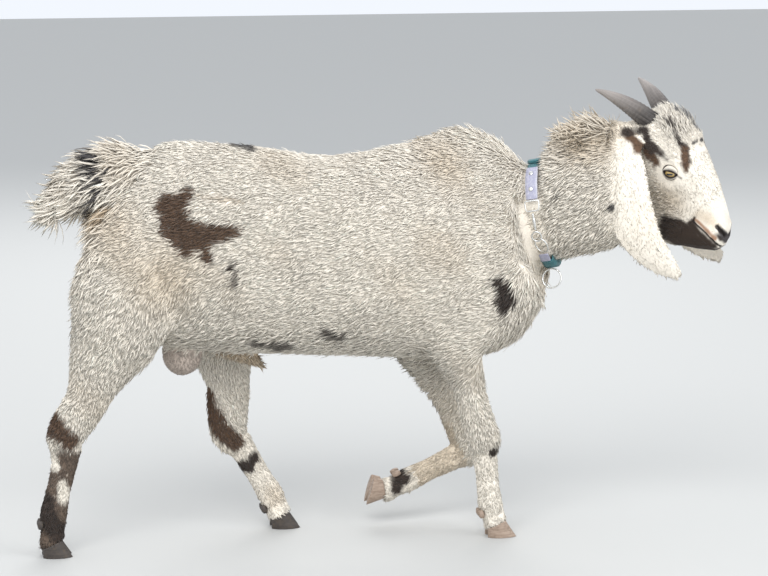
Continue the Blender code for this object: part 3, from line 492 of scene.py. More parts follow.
@dataclass(frozen=True)
class FloorFinish:
    """Plain pale floor."""

    name: str = "pale_floor"
    colour: tuple[float, float, float] = (0.50, 0.50, 0.485)

    def make(self) -> bpy.types.Material:
        """Builds the material."""
        return Paint(self.name).surface(self.colour, Roughness=0.85).block

# ---------------------------------------------------------------- surfaces as arrays
class Surface:
    """A mesh's points, edges and normals as arrays, with sums over neighbours."""

    def __init__(self, data: bpy.types.Mesh) -> None:
        """Reads the mesh."""
        self.points = coordinates(data)
        ends = np.empty(len(data.edges) * 2, np.int32)
        data.edges.foreach_get("vertices", ends)
        self.first, self.second = ends.reshape(-1, 2).T
        size = len(self.points)
        self.degree = np.bincount(self.first, minlength=size) + np.bincount(self.second, minlength=size)
        normals = np.empty(size * 3, np.float32)
        data.vertex_normals.foreach_get("vector", normals)
        self.normals = normals.reshape(-1, 3).astype(float)

    def mean(self, values: np.ndarray) -> np.ndarray:
        """Gives the mean of each point's neighbours."""
        total = np.zeros_like(values)
        size = len(values)
        for c in range(values.shape[1]):
            total[:, c] = np.bincount(self.first, values[self.second, c], size)
            total[:, c] += np.bincount(self.second, values[self.first, c], size)
        return total / np.maximum(self.degree, 1)[:, None]

    def smooth(self, values: np.ndarray, rounds: int, weight: object = 0.5) -> np.ndarray:
        """Smooths values over the mesh; weight is one number or one for each point."""
        for _ in range(rounds):
            values = values + weight * (self.mean(values) - values)
        return values

def grid_mesh(name: str, points: np.ndarray, faces: np.ndarray) -> bpy.types.Mesh:
    """Makes a smooth-shaded mesh from arrays of points and of faces with equal corners."""
    data = bpy.data.meshes.new(name)
    count, corners = faces.shape
    data.vertices.add(len(points))
    data.vertices.foreach_set("co", points.astype(np.float32).ravel())
    data.loops.add(count * corners)
    data.loops.foreach_set("vertex_index", faces.astype(np.int32).ravel())
    data.polygons.add(count)
    data.polygons.foreach_set("loop_start", np.arange(0, count * corners, corners, dtype=np.int32))
    data.update(calc_edges=True)
    data.shade_smooth()
    return data

def corners_of(data: bpy.types.Mesh) -> np.ndarray:
    """Gives the point numbers of a mesh of triangles."""
    found = np.empty(len(data.loops), np.int32)
    data.loops.foreach_get("vertex_index", found)
    return found.reshape(-1, 3)

def middle_of(node: str) -> np.ndarray:
    """Gives the middle of a solid's box."""
    low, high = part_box(node)
    return np.array((low + high) / 2)

def merged_copy(node: str, grow: float = 0.0) -> bmesh.types.BMesh:
    """Copies a solid with its points merged, grown along its normals."""
    mesh = bmesh.new()
    mesh.from_mesh(frame["nodes"][node].data)
    bmesh.ops.remove_doubles(mesh, verts=mesh.verts, dist=2e-5)
    bmesh.ops.recalc_face_normals(mesh, faces=mesh.faces)
    mesh.normal_update()
    if grow:
        for point, normal in [(v, v.normal.copy()) for v in mesh.verts]:
            point.co += normal * grow
    return mesh

def rounded_copy(name: str, node: str, levels: int = 2, crease: float = 38.0,
                 grow: float = 0.0) -> bpy.types.Object:
    """Copies a solid and rounds it between its sharp edges.

    Args:
        name: name of the new piece.
        node: the solid.
        levels: how often it is divided.
        crease: edges that turn more than this stay sharp.
        grow: how far it is grown first, against the loss by rounding.

    Returns:
        The new object, as a plain mesh.
    """
    mesh = merged_copy(node, grow)
    bmesh.ops.dissolve_limit(mesh, angle_limit=0.005, verts=mesh.verts, edges=mesh.edges)
    layer = mesh.edges.layers.float.new("crease_edge")
    for edge in mesh.edges:
        if edge.is_manifold and math.degrees(edge.calc_face_angle(0.0)) > crease:
            edge[layer] = 0.9
    data = bpy.data.meshes.new(name)
    mesh.to_mesh(data)
    mesh.free()
    thing = new_object(name, data)
    divide = thing.modifiers.new("divide", "SUBSURF")
    divide.levels = levels
    divide.render_levels = levels
    plain = evaluated_mesh(thing)
    thing.modifiers.clear()
    thing.data = plain
    plain.shade_smooth()
    return thing

# ---------------------------------------------------------------- markings
class Tint(Enum):
    """Colours of the coat and of bare skin, and a near black that is painted shade in the mouth slit and nostrils."""

    CREAM = (0.90, 0.83, 0.72)
    TAN = (0.50, 0.37, 0.23)
    BUFF = (0.72, 0.60, 0.45)
    BROWN = (0.115, 0.066, 0.038)
    DARK = (0.040, 0.027, 0.020)
    GREY_BLACK = (0.055, 0.050, 0.050)
    BLUE_GREY = (0.10, 0.105, 0.12)
    RUST = (0.30, 0.13, 0.055)
    NOSE = (0.060, 0.052, 0.052)
    BARE = (0.50, 0.42, 0.36)
    # Near black: painted shade in the mouth slit and the nostrils, and the dark rims of eyes and lids and the tear
    # stain.
    MOUTH = (0.020, 0.014, 0.012)

@dataclass(frozen=True)
class Blot:
    """Patch of colour along a chain of balls: (x, z, radius) on the body, (f, v, u, radius) on the head.

    A body patch lies on the right unless it says otherwise, and a head patch on both sides unless it says left.
    """

    tint: Tint
    chain: tuple
    side: Side = Side.RIGHT
    parts: tuple = ("trunk",)
    soft: float = 0.005
    wander: float = 0.005
    share: float = 1.0

    def reach(self, spots: np.ndarray) -> np.ndarray:
        """Gives the distance from the patch's edge, negative inside."""
        chain = rows(list(self.chain))
        ends = list(zip(chain[:-1], chain[1:])) or [(chain[0], chain[0])]
        best = np.full(len(spots), 9.0)
        for a, b in ends:
            run = b[:-1] - a[:-1]
            t = np.clip((spots - a[:-1]) @ run / max(run @ run, 1e-12), 0.0, 1.0)
            gap = np.linalg.norm(spots - a[:-1] - t[:, None] * run, axis=1)
            best = np.minimum(best, gap - a[-1] - t * (b[-1] - a[-1]))
        return best

BODY_BLOTS = (
    Blot(Tint.BUFF, ((-0.451, 0.557, 0.06),), Side.BOTH, soft=0.06, share=0.7),
    Blot(Tint.BUFF, ((-0.555, 0.656, 0.05),), Side.BOTH, soft=0.05, share=0.6),
    Blot(Tint.BUFF, ((0.119, 0.767, 0.04),), Side.BOTH, soft=0.04, share=0.6),
    Blot(Tint.BUFF, ((0.40, 0.81, 0.05), (0.46, 0.83, 0.03)), Side.BOTH, ("neck", "head"), 0.04,
         share=0.6),
    Blot(Tint.BROWN, ((-0.437, 0.695, 0.027), (-0.425, 0.655, 0.032), (-0.410, 0.625, 0.022))),
    Blot(Tint.BROWN, ((-0.425, 0.655, 0.030), (-0.375, 0.640, 0.024), (-0.318, 0.650, 0.016))),
    Blot(Tint.BROWN, ((-0.425, 0.700, 0.014), (-0.396, 0.728, 0.008))),
    Blot(Tint.BROWN, ((-0.380, 0.630, 0.018), (-0.370, 0.603, 0.014))),
    Blot(Tint.CREAM, ((-0.362, 0.690, 0.016),), soft=0.004),
    Blot(Tint.DARK, ((-0.322, 0.586, 0.006), (-0.313, 0.546, 0.005)), soft=0.004, wander=0.003),
    Blot(Tint.GREY_BLACK, ((-0.297, 0.815, 0.012), (-0.266, 0.806, 0.011)), Side.BOTH, soft=0.005),
    Blot(Tint.DARK, ((0.218, 0.530, 0.014), (0.232, 0.500, 0.022), (0.225, 0.468, 0.010))),
    Blot(Tint.DARK, ((0.345, 0.695, 0.005),), parts=("neck",), wander=0.002, soft=0.003),
    Blot(Tint.GREY_BLACK, ((0.449, 0.675, 0.008),), parts=("neck", "head"), wander=0.002),
    Blot(Tint.TAN, ((-0.378, 0.715, 0.003), (-0.300, 0.706, 0.003)), soft=0.006, share=0.5),
    Blot(Tint.DARK, ((-0.135, 0.441, 0.008), (-0.100, 0.433, 0.007)), Side.BOTH, wander=0.008,
         share=0.85),
    Blot(Tint.DARK, ((-0.270, 0.420, 0.008), (-0.200, 0.410, 0.009)), Side.BOTH, wander=0.008, share=0.8),
    Blot(Tint.BROWN, ((-0.30, 0.66, 0.030), (-0.24, 0.63, 0.036), (-0.20, 0.60, 0.018)), Side.LEFT),
    Blot(Tint.DARK, ((0.16, 0.56, 0.020), (0.19, 0.52, 0.014)), Side.LEFT),
    Blot(Tint.GREY_BLACK, ((-0.585, 0.775, 0.010), (-0.578, 0.690, 0.011)), Side.BOTH, ("tail",), 0.005),
    Blot(Tint.TAN, ((-0.555, 0.660, 0.022), (-0.600, 0.650, 0.020)), Side.BOTH, ("tail",), 0.01,
         share=0.8),
    Blot(Tint.DARK, ((0.217, 0.178, 0.011),), Side.BOTH, ("foreleg_right",), 0.003, 0.003),
    Blot(Tint.DARK, ((0.055, 0.100, 0.018), (0.040, 0.075, 0.012)), Side.BOTH, ("foreleg_left_foot",),
         0.005),
    Blot(Tint.BROWN, ((-0.684, 0.290, 0.013), (-0.668, 0.262, 0.020), (-0.640, 0.235, 0.016)), Side.BOTH,
         ("hindleg_right",)),
    Blot(Tint.BROWN, ((-0.352, 0.285, 0.014), (-0.318, 0.215, 0.020), (-0.290, 0.180, 0.016)), Side.BOTH,
         ("hindleg_left",)),
    Blot(Tint.BUFF, ((0.19, 0.18, 0.05), (0.10, 0.10, 0.05)), Side.BOTH, ("foreleg_left_cannon",), 0.03,
         share=0.8),
)
SHANK_BLOTS = (
    Blot(Tint.DARK, ((-0.690, 0.115, 0.016), (-0.680, 0.060, 0.020), (-0.650, 0.040, 0.020)), Side.BOTH,
         ("hindleg_right",)),
    Blot(Tint.CREAM, ((-0.683, 0.222, 0.013), (-0.673, 0.185, 0.011)), Side.BOTH, ("hindleg_right",),
         0.004),
    Blot(Tint.CREAM, ((-0.655, 0.150, 0.010), (-0.652, 0.118, 0.014)), Side.BOTH, ("hindleg_right",),
         0.004),
    Blot(Tint.DARK, ((-0.250, 0.155, 0.010), (-0.262, 0.128, 0.012), (-0.285, 0.132, 0.010)), Side.BOTH,
         ("hindleg_left",), 0.004),
    Blot(Tint.BUFF, ((-0.21, 0.07, 0.02),), Side.BOTH, ("hindleg_left",), 0.02, share=0.6),
)
HEAD_BLOTS = (
    Blot(Tint.TAN, ((0.045, -0.040, -0.035, 0.030),), soft=0.03, share=0.4),
    Blot(Tint.TAN, ((0.110, -0.034, -0.002, 0.010), (0.140, -0.028, 0.014, 0.010)), soft=0.014,
         share=0.55),
    Blot(Tint.BROWN, ((-0.100, -0.068, -0.008, 0.010), (-0.066, -0.078, 0.000, 0.013), (-0.045, -0.062,
         0.000, 0.014), (-0.028, -0.060, 0.002, 0.012), (-0.022, -0.059, -0.009, 0.007)), parts=("head",
         "ear")),
    Blot(Tint.TAN, ((-0.096, -0.060, 0.000, 0.007), (-0.080, -0.064, -0.002, 0.004)), soft=0.004,
         share=0.8),
    Blot(Tint.DARK, ((-0.113, -0.064, -0.012, 0.010), (-0.091, -0.055, 0.022, 0.010), (-0.073, -0.059,
         0.013, 0.009), (-0.051, -0.058, 0.015, 0.009), (-0.033, -0.059, 0.021, 0.008), (-0.017, -0.062,
         0.026, 0.004))),
    Blot(Tint.DARK, ((-0.081, -0.029, 0.066, 0.004), (-0.064, -0.036, 0.069, 0.004), (-0.049, -0.042,
         0.066, 0.005), (-0.027, -0.046, 0.065, 0.005), (-0.010, -0.038, 0.066, 0.006)), soft=0.003,
         wander=0.002),
    Blot(Tint.BROWN, ((-0.010, -0.041, 0.063, 0.008), (0.000, -0.044, 0.058, 0.011), (0.011, -0.046,
         0.051, 0.011), (0.024, -0.048, 0.043, 0.006)), soft=0.004, wander=0.004),
    Blot(Tint.DARK, ((-0.006, -0.036, 0.064, 0.003), (0.016, -0.038, 0.056, 0.003)), soft=0.003,
         wander=0.002),
    Blot(Tint.GREY_BLACK, ((-0.013, -0.020, 0.077, 0.004), (-0.013, -0.008, 0.079, 0.003)), soft=0.003,
         wander=0.002),
    Blot(Tint.BLUE_GREY, ((-0.092, 0.011, 0.068, 0.010), (-0.062, 0.020, 0.079, 0.010), (-0.034, 0.018,
         0.080, 0.007)), Side.LEFT, soft=0.005, share=0.9),
    # Dark hair along the jaw's lower edge, darkened further as painted shade under the jaw.
    Blot(Tint.DARK, ((0.084, -0.027, -0.080, 0.021), (0.105, -0.026, -0.064, 0.025), (0.131, -0.026,
         -0.052, 0.027), (0.150, -0.022, -0.044, 0.024), (0.171, -0.010, -0.032, 0.020)), soft=0.006),
    Blot(Tint.DARK, ((0.113, -0.034, -0.030, 0.009), (0.150, -0.033, -0.026, 0.010), (0.174, -0.025,
         -0.022, 0.010)), soft=0.004, wander=0.003),
    # Dark hair under the chin, darkened further as painted shade under the jaw.
    Blot(Tint.DARK, ((0.100, 0.0, -0.090, 0.030), (0.150, 0.0, -0.060, 0.030)), soft=0.006),
    Blot(Tint.DARK, ((0.107, -0.034, -0.013, 0.003), (0.112, -0.034, -0.024, 0.005)), soft=0.002,
         wander=0.001),
    Blot(Tint.RUST, ((0.114, -0.034, -0.014, 0.003), (0.144, -0.034, -0.007, 0.005), (0.166, -0.031,
         -0.004, 0.005)), soft=0.003, wander=0.002, share=0.85),
    Blot(Tint.DARK, ((0.158, -0.030, 0.002, 0.003), (0.174, -0.020, 0.001, 0.006)), soft=0.003,
         wander=0.002),
    Blot(Tint.NOSE, ((0.151, -0.026, 0.012, 0.005), (0.162, -0.021, 0.010, 0.009), (0.172, -0.010, 0.005,
         0.012), (0.180, 0.0, 0.001, 0.012)), soft=0.004, wander=0.002),
)
MOUTH = ((0.112, -0.034, -0.022), (0.123, -0.034, -0.020), (0.144, -0.035, -0.014), (0.164, -0.033, -0.011),
         (0.175, -0.025, -0.013), (0.186, -0.008, -0.016), (0.188, 0.0, -0.017))
TEAR = ((0.019, -0.054, 0.020), (0.031, -0.051, 0.023))
NOSTRIL = ((0.150, -0.027, 0.013), (0.158, -0.023, 0.012), (0.166, -0.014, 0.008), (0.171, -0.007, 0.003))

def chain_reach(spots: np.ndarray, chain: tuple) -> np.ndarray:
    """Gives the distance of places from a line of points."""
    balls = tuple((*p, 0.0) for p in chain)
    return Blot(Tint.CREAM, balls).reach(spots)

class Markings:
    """Colours of the coat and skin, by place."""

    def lay(self, colours: np.ndarray, spots: np.ndarray, points: np.ndarray, blot: Blot,
            allowed: np.ndarray) -> np.ndarray:
        """Lays one patch over the colours."""
        broad, fine = ripple(points, 0.022), ripple(points, 0.008)
        edge = blot.reach(spots) + blot.wander * broad + 0.4 * blot.wander * fine
        share = blot.share * ramp(edge, blot.soft, -blot.soft) * allowed
        return colours + share[:, None] * (np.array(blot.tint.value) - colours)

    def colours(self, points: np.ndarray, labels: np.ndarray, names: list) -> np.ndarray:
        """Gives the coat's colour at places on the goat.

        Args:
            points: the places.
            labels: number of the solid that each belongs to.
            names: names of the solids.

        Returns:
            One linear colour for each place.
        """
        local = HEAD.local(points)
        mirrored = local.copy()
        mirrored[:, 1] = -np.abs(local[:, 1])
        flat = points[:, (0, 2)]
        left = points[:, 1] > 0.018
        found = np.tile(Tint.CREAM.value, (len(points), 1)) * (1.0 + 0.05 * ripple(points, 0.05))[:, None]
        cloud = 0.30 * ramp(ripple(points, 0.11), 0.1, 0.9)
        found += cloud[:, None] * (np.array(Tint.BUFF.value) - found)

        def on(parts: tuple) -> np.ndarray:
            """Tells which places lie on solids whose names start so."""
            numbers = [i for i, name in enumerate(names) if name.startswith(parts)]
            return np.isin(labels, numbers)

        shank = on(("hindleg_right_cannon", "hindleg_right_foot"))
        low = shank * ramp(points[:, 2] + 0.008 * ripple(points, 0.02), 0.235, 0.205)
        found += (0.93 * low)[:, None] * (np.array(Tint.BROWN.value) * 0.8 - found)
        for blot in BODY_BLOTS + SHANK_BLOTS:
            allowed = on(blot.parts).astype(float)
            if blot.side is not Side.BOTH:
                allowed *= left if blot.side is Side.LEFT else ~left
            found = self.lay(found, flat, points, blot, allowed)
        on_head = on(("head",)).astype(float)
        for blot in HEAD_BLOTS:
            allowed = on(("head", "ear")).astype(float) if "ear" in blot.parts else on_head
            if blot.side is Side.LEFT:
                found = self.lay(found, local, points, blot, allowed)
            else:
                found = self.lay(found, mirrored, points, blot, allowed)
        # Painted shade: the mouth slit and the nostril holes go near black for the shade inside them; the ring round
        # the eye and the tear streak are dark skin.
        mouth_slit_shade = ramp(chain_reach(mirrored, MOUTH), 0.0035, 0.0012) * on_head
        hole = ramp(chain_reach(mirrored, NOSTRIL), 0.0052, 0.0028) * on_head
        eye = np.linalg.norm(mirrored - rows([HEAD.eye]) * (1.0, -1.0, 1.0), axis=1)
        rim = ramp(eye, 0.0185, 0.0168) * on_head
        tear = ramp(chain_reach(mirrored, TEAR), 0.004, 0.001) * on_head
        for share in (mouth_slit_shade, hole, rim, 0.8 * tear):
            found += share[:, None] * (np.array(Tint.MOUTH.value) - found)
        bare = on(("scrotum",)).astype(float)
        found += bare[:, None] * (np.array(Tint.BARE.value) - found)
        brown = on(("sheath",)).astype(float) * 0.8
        found += brown[:, None] * (np.array(Tint.TAN.value) - found)
        return np.clip(found, 0.004, 0.95)

# ---------------------------------------------------------------- skin
@dataclass(frozen=True)
class Style:
    """How the coat lies on one part: depth of the skin in the solid, and size, lift, number and way of tufts."""

    depth: float
    length: float
    width: float
    lift: float
    density: float
    flow: tuple[float, float, float]

    def sizes(self) -> tuple:
        """Gives depth, length, width, lift and density in the order of the skin's fields."""
        return self.depth, self.length, self.width, self.lift, self.density

STYLES = {
    "trunk": Style(0.0075, 0.026, 0.0036, 13.0, 64000, (-1.0, 0.0, -0.30)),
    "neck": Style(0.009, 0.028, 0.0036, 18.0, 60000, (-0.75, 0.20, -0.55)),
    "head": Style(0.0022, 0.009, 0.0026, 20.0, 120000, (-1.0, 0.0, -0.3)),
    "ear": Style(0.0008, 0.008, 0.0024, 14.0, 70000, (0.0, 0.0, -1.0)),
    "tail": Style(0.020, 0.062, 0.0055, 38.0, 62000, (-0.85, 0.0, -0.35)),
    "scrotum": Style(0.0015, 0.009, 0.0024, 16.0, 80000, (0.0, 0.0, -1.0)),
    "sheath": Style(0.003, 0.020, 0.0034, 24.0, 60000, (0.9, 0.0, -0.6)),
    "forearm": Style(0.006, 0.018, 0.0038, 18.0, 70000, (0.0, 0.0, -1.0)),
    "gaskin": Style(0.006, 0.018, 0.0038, 18.0, 70000, (0.0, 0.0, -1.0)),
    "cannon": Style(0.003, 0.012, 0.0030, 14.0, 100000, (0.0, 0.0, -1.0)),
    "foot": Style(0.002, 0.010, 0.0028, 16.0, 110000, (0.0, 0.0, -1.0)),
}
CREST = Style(0.036, 0.055, 0.0046, 58.0, 60000, (-0.45, 0.0, 0.9))
WITHERS = Style(0.010, 0.034, 0.0040, 26.0, 54000, (-1.0, 0.0, 0.2))
BRITCHES = Style(0.013, 0.042, 0.0042, 26.0, 54000, (-0.45, 0.0, -1.0))
BELLY = Style(0.007, 0.028, 0.0038, 18.0, 45000, (-0.9, 0.0, -0.3))
CHEST = Style(0.009, 0.030, 0.0038, 18.0, 52000, (-0.25, 0.0, -1.0))
FLANK = Style(0.0075, 0.026, 0.0036, 14.0, 62000, (-0.55, 0.0, -0.9))
POLL = Style(0.006, 0.030, 0.0036, 44.0, 90000, (-1.0, 0.0, 0.4))
MUZZLE = Style(0.0010, 0.0042, 0.0018, 18.0, 150000, (0.6, 0.0, -0.5))
CHEEK = Style(0.0035, 0.015, 0.0030, 22.0, 100000, (-0.5, 0.0, -1.0))
FACE = Style(0.0015, 0.0075, 0.0022, 16.0, 130000, (0.9, 0.0, -0.25))

def kind_of(name: str) -> str:
    """Gives the style name of a solid."""
    last = name.split("_")[-1]
    return last if last in STYLES else name.split("_")[0]

@dataclass
class Skin:
    """One skin under the whole coat, with nostrils, mouth and eyelids, and the fields that the coat follows."""

    voxel: float = 0.0028
    faces: int = 165000
    grow: float = 0.0007
    socket: float = 0.0168
    names: list = field(default_factory=list)
    surface: Surface | None = None
    labels: np.ndarray | None = None
    fields: np.ndarray | None = None
    flow: np.ndarray | None = None
    colours: np.ndarray | None = None
    corners: np.ndarray | None = None

    def flesh(self) -> list:
        """Gives the names of the solids that the skin stands for."""
        hard = ("collar", "horn", "eye")
        return [n for n in sorted(frame["nodes"]) if not n.startswith(hard) and "claw" not in n]

    def fused(self) -> bpy.types.Mesh:
        """Joins the flesh solids into one closed mesh."""
        joined = bmesh.new()
        for name in self.names:
            part = merged_copy(name, self.grow)
            data = bpy.data.meshes.new("part")
            part.to_mesh(data)
            part.free()
            joined.from_mesh(data)
            bpy.data.meshes.remove(data)
        data = bpy.data.meshes.new("flesh")
        joined.to_mesh(data)
        joined.free()
        thing = new_object("flesh", data)
        remesh = thing.modifiers.new("fuse", "REMESH")
        remesh.mode = "VOXEL"
        remesh.voxel_size = self.voxel
        fused = evaluated_mesh(thing)
        thing.modifiers.clear()
        thing.data = fused
        surface = Surface(fused)
        place(fused, self.softened(surface))
        group = thing.vertex_groups.new(name="keep")
        local = HEAD.local(surface.points)
        fine = (local[:, 0] > -0.12) & (np.abs(local[:, 1]) < 0.09) & (surface.points[:, 0] > 0.44)
        group.add(np.flatnonzero(fine).tolist(), 0.9, "REPLACE")
        group.add(np.flatnonzero(~fine).tolist(), 1.0, "REPLACE")
        thin = thing.modifiers.new("thin", "DECIMATE")
        thin.ratio = min(1.0, self.faces / (2.0 * len(fused.polygons)))
        thin.vertex_group = "keep"
        thin.vertex_group_factor = 0.02
        plain = evaluated_mesh(thing)
        bpy.data.objects.remove(thing)
        return plain

    def softened(self, surface: Surface) -> np.ndarray:
        """Smooths the facets away: strongly on the body, lightly on head, ears and feet."""
        points = surface.points
        local = HEAD.local(points)
        on_head = (local[:, 0] > -0.13) & (points[:, 0] > 0.42)
        low = points[:, 2] < 0.30
        strength = np.where(on_head | low, 0.0, 0.5)[:, None]
        strength = surface.smooth(strength, 12)
        points = surface.smooth(points, 34, strength)
        for _ in range(7):
            points = surface.smooth(points, 1, 0.55)
            points = surface.smooth(points, 1, -0.56)
        return points

    def labelled(self, points: np.ndarray) -> np.ndarray:
        """Gives the number of the solid nearest to each place."""
        corners = []
        faces = []
        owner = []
        for number, name in enumerate(self.names):
            data = frame["nodes"][name].data
            start = len(corners)
            corners.extend(v.co.copy() for v in data.vertices)
            faces.extend([start + i for i in p.vertices] for p in data.polygons)
            owner.extend([number] * len(data.polygons))
        tree = BVHTree.FromPolygons(corners, faces)
        return np.array([owner[tree.find_nearest(Vector(p))[2]] for p in points])

    def refine(self, data: bpy.types.Mesh) -> bpy.types.Mesh:
        """Divides the faces of muzzle and eye regions once more."""
        mesh = bmesh.new()
        mesh.from_mesh(data)
        local = HEAD.local(coordinates(data))
        close = (local[:, 0] > 0.088) | (self.eye_reach(local) < 0.024)
        close &= coordinates(data)[:, 0] > 0.5
        close &= local[:, 1] < 0.08
        mesh.edges.ensure_lookup_table()
        picked = [e for e in mesh.edges if close[e.verts[0].index] and close[e.verts[1].index]]
        bmesh.ops.subdivide_edges(mesh, edges=picked, cuts=1, smooth=0.0)
        bmesh.ops.triangulate(mesh, faces=mesh.faces)
        mesh.to_mesh(data)
        mesh.free()
        return data

    def build(self) -> bpy.types.Object:
        """Builds the skin with its fields and its colours."""
        self.names = self.flesh()
        data = self.refine(self.fused())
        surface = Surface(data)
        labels = self.labelled(surface.points)
        LOG.info("skin: %d points", len(surface.points))
        self.labels = labels
        self.lie(surface)
        normals = unit(surface.smooth(surface.normals, 8))
        points = surface.points - normals * self.fields[:, :1]
        points = self.sculpt(points, normals)
        place(data, points)
        self.surface = Surface(data)
        self.colours = Markings().colours(points + normals * 0.002, labels, self.names)
        self.corners = corners_of(data)
        bare = self.with_lids(data)
        thing = new_object("skin", bare)
        settle(thing, SkinFinish().make(), tuple(self.names))
        return thing

    def sculpt(self, points: np.ndarray, normals: np.ndarray) -> np.ndarray:
        """Presses in nostrils and mouth and keeps the skin off the eyes."""
        local = HEAD.local(points)
        mirrored = local.copy()
        mirrored[:, 1] = -np.abs(local[:, 1])
        near = (local[:, 0] > 0.09) & (points[:, 0] > 0.5) & (np.abs(local[:, 1]) < 0.07)
        groove = 0.0034 * np.exp(-(chain_reach(mirrored, MOUTH) / 0.0020) ** 2)
        hole = 0.0075 * np.exp(-(chain_reach(mirrored, NOSTRIL) / 0.0034) ** 2)
        ridge = 0.0016 * np.exp(-((chain_reach(mirrored, NOSTRIL) - 0.0072) / 0.0028) ** 2)
        move = np.where(near, ridge - groove - hole, 0.0)
        points = points + normals * move[:, None]
        for side in (-1, 1):
            centre = HEAD.world(rows([(HEAD.eye[0], side * HEAD.eye[1], HEAD.eye[2])]))[0]
            away = points - centre
            reach = np.linalg.norm(away, axis=1)
            short = reach < self.socket
            points[short] = centre + unit(away[short]) * self.socket
        return points

    def lie(self, surface: Surface) -> None:
        """Works out the coat's depth, length, width, lift, number and way at each point of the skin."""
        points = surface.points
        normals = surface.normals
        local = HEAD.local(points)
        values = np.zeros((len(points), 5))
        flow = np.zeros((len(points), 3))
        for number, name in enumerate(self.names):
            style = STYLES[kind_of(name)]
            here = self.labels == number
            values[here] = style.sizes()
            flow[here] = self.way(name, style)
        on = {kind: np.isin(self.labels, [i for i, n in enumerate(self.names) if kind_of(n) == kind])
              for kind in STYLES}
        x, z = points[:, 0], points[:, 2]
        up = normals[:, 2]
        f, u = local[:, 0], local[:, 2]
        body = on["trunk"] | on["neck"]
        zones = (
            (body * ramp(up, 0.45, 0.8) * ramp(x, -0.05, 0.05) * ramp(x, 0.34, 0.28), WITHERS),
            (on["neck"] * ramp(up, 0.35, 0.75) * ramp(x, 0.31, 0.35), CREST),
            (on["trunk"] * ramp(normals[:, 0], -0.1, -0.5) * ramp(x, -0.44, -0.52), BRITCHES),
            (on["trunk"] * ramp(up, -0.35, -0.7) * (x < 0.2), BELLY),
            (on["trunk"] * ramp(x, -0.28, -0.36) * ramp(z, 0.62, 0.52) * (up > -0.5), FLANK),
            (body * ramp(x, 0.20, 0.27) * ramp(z, 0.60, 0.54), CHEST),
            (on["head"] * ramp(f, -0.01, 0.02) * (u > -0.03), FACE),
            (on["head"] * ramp(f, 0.09, 0.12), MUZZLE),
            (on["head"] * ramp(u, -0.015, -0.045) * ramp(f, 0.10, 0.06), CHEEK),
            (on["head"] * ramp(u, 0.045, 0.065) * ramp(f, -0.02, -0.05), POLL),
        )
        for weight, style in zones:
            share = weight[:, None]
            values += share * (rows([style.sizes()]) - values)
            way = np.array(style.flow)
            if style in (FACE, MUZZLE, CHEEK, POLL):
                way = HEAD.turn(way)
            flow += share * (unit(way) - flow)
        eye = self.eye_reach(local)
        values[:, 1] *= np.where(on["head"], 0.35 + 0.65 * ramp(eye, 0.016, 0.034), 1.0)
        values = surface.smooth(values, 6)
        flow = surface.smooth(flow, 14)
        flow -= np.sum(flow * normals, axis=1, keepdims=True) * normals
        self.fields = values
        self.flow = unit(flow)

    def eye_reach(self, local: np.ndarray) -> np.ndarray:
        """Gives the distance from the nearer eye's centre."""
        folded = local.copy()
        folded[:, 1] = np.abs(local[:, 1])
        return np.linalg.norm(folded - rows([HEAD.eye]), axis=1)

    def way(self, name: str, style: Style) -> np.ndarray:
        """Gives the hair's way on one solid: along the limb or ear where it has one."""
        kind = kind_of(name)
        if kind in ("forearm", "gaskin", "cannon", "foot"):
            leg = name.rsplit("_", 1)[0]
            upper = "forearm" if "fore" in leg else "gaskin"
            chain = [middle_of(f"{leg}_{p}") for p in (upper, "cannon", "foot")]
            chain.append(middle_of(f"{leg}_claw_outer"))
            k = {"forearm": 0, "gaskin": 0, "cannon": 1, "foot": 2}[kind]
            return unit(chain[k + 1] - chain[max(0, k - 1)])
        if kind == "ear":
            spots = coordinates(frame["nodes"][name].data)
            order = np.argsort(spots[:, 2])
            return unit(spots[order[:12]].mean(0) - spots[order[-12:]].mean(0))
        if kind == "head":
            return unit(HEAD.turn(np.array(style.flow)))
        return unit(np.array(style.flow))

    def with_lids(self, data: bpy.types.Mesh) -> bpy.types.Mesh:
        """Joins the eyelids to the skin's mesh and stores the colours."""
        points = [coordinates(data)]
        faces = [corners_of(data)]
        colours = [self.colours]
        for side in (-1, 1):
            shell, corners, shade = Lids().build(side)
            faces.append(corners + sum(len(p) for p in points))
            points.append(shell)
            colours.append(shade)
        joined = grid_mesh("skin", np.concatenate(points), np.concatenate(faces))
        point_colours(joined, "coat", np.concatenate(colours))
        return joined

def gaze_axes(side: int) -> tuple:
    """Gives an eye's centre, its gaze, its level axis and its upright axis."""
    centre = HEAD.world(rows([(HEAD.eye[0], side * HEAD.eye[1], HEAD.eye[2])]))[0]
    gaze = unit(HEAD.turn(np.array((0.32, side * 0.94, 0.08))))
    level = unit(np.cross((0.0, 0.0, 1.0), gaze))
    return centre, gaze, level, np.cross(gaze, level)

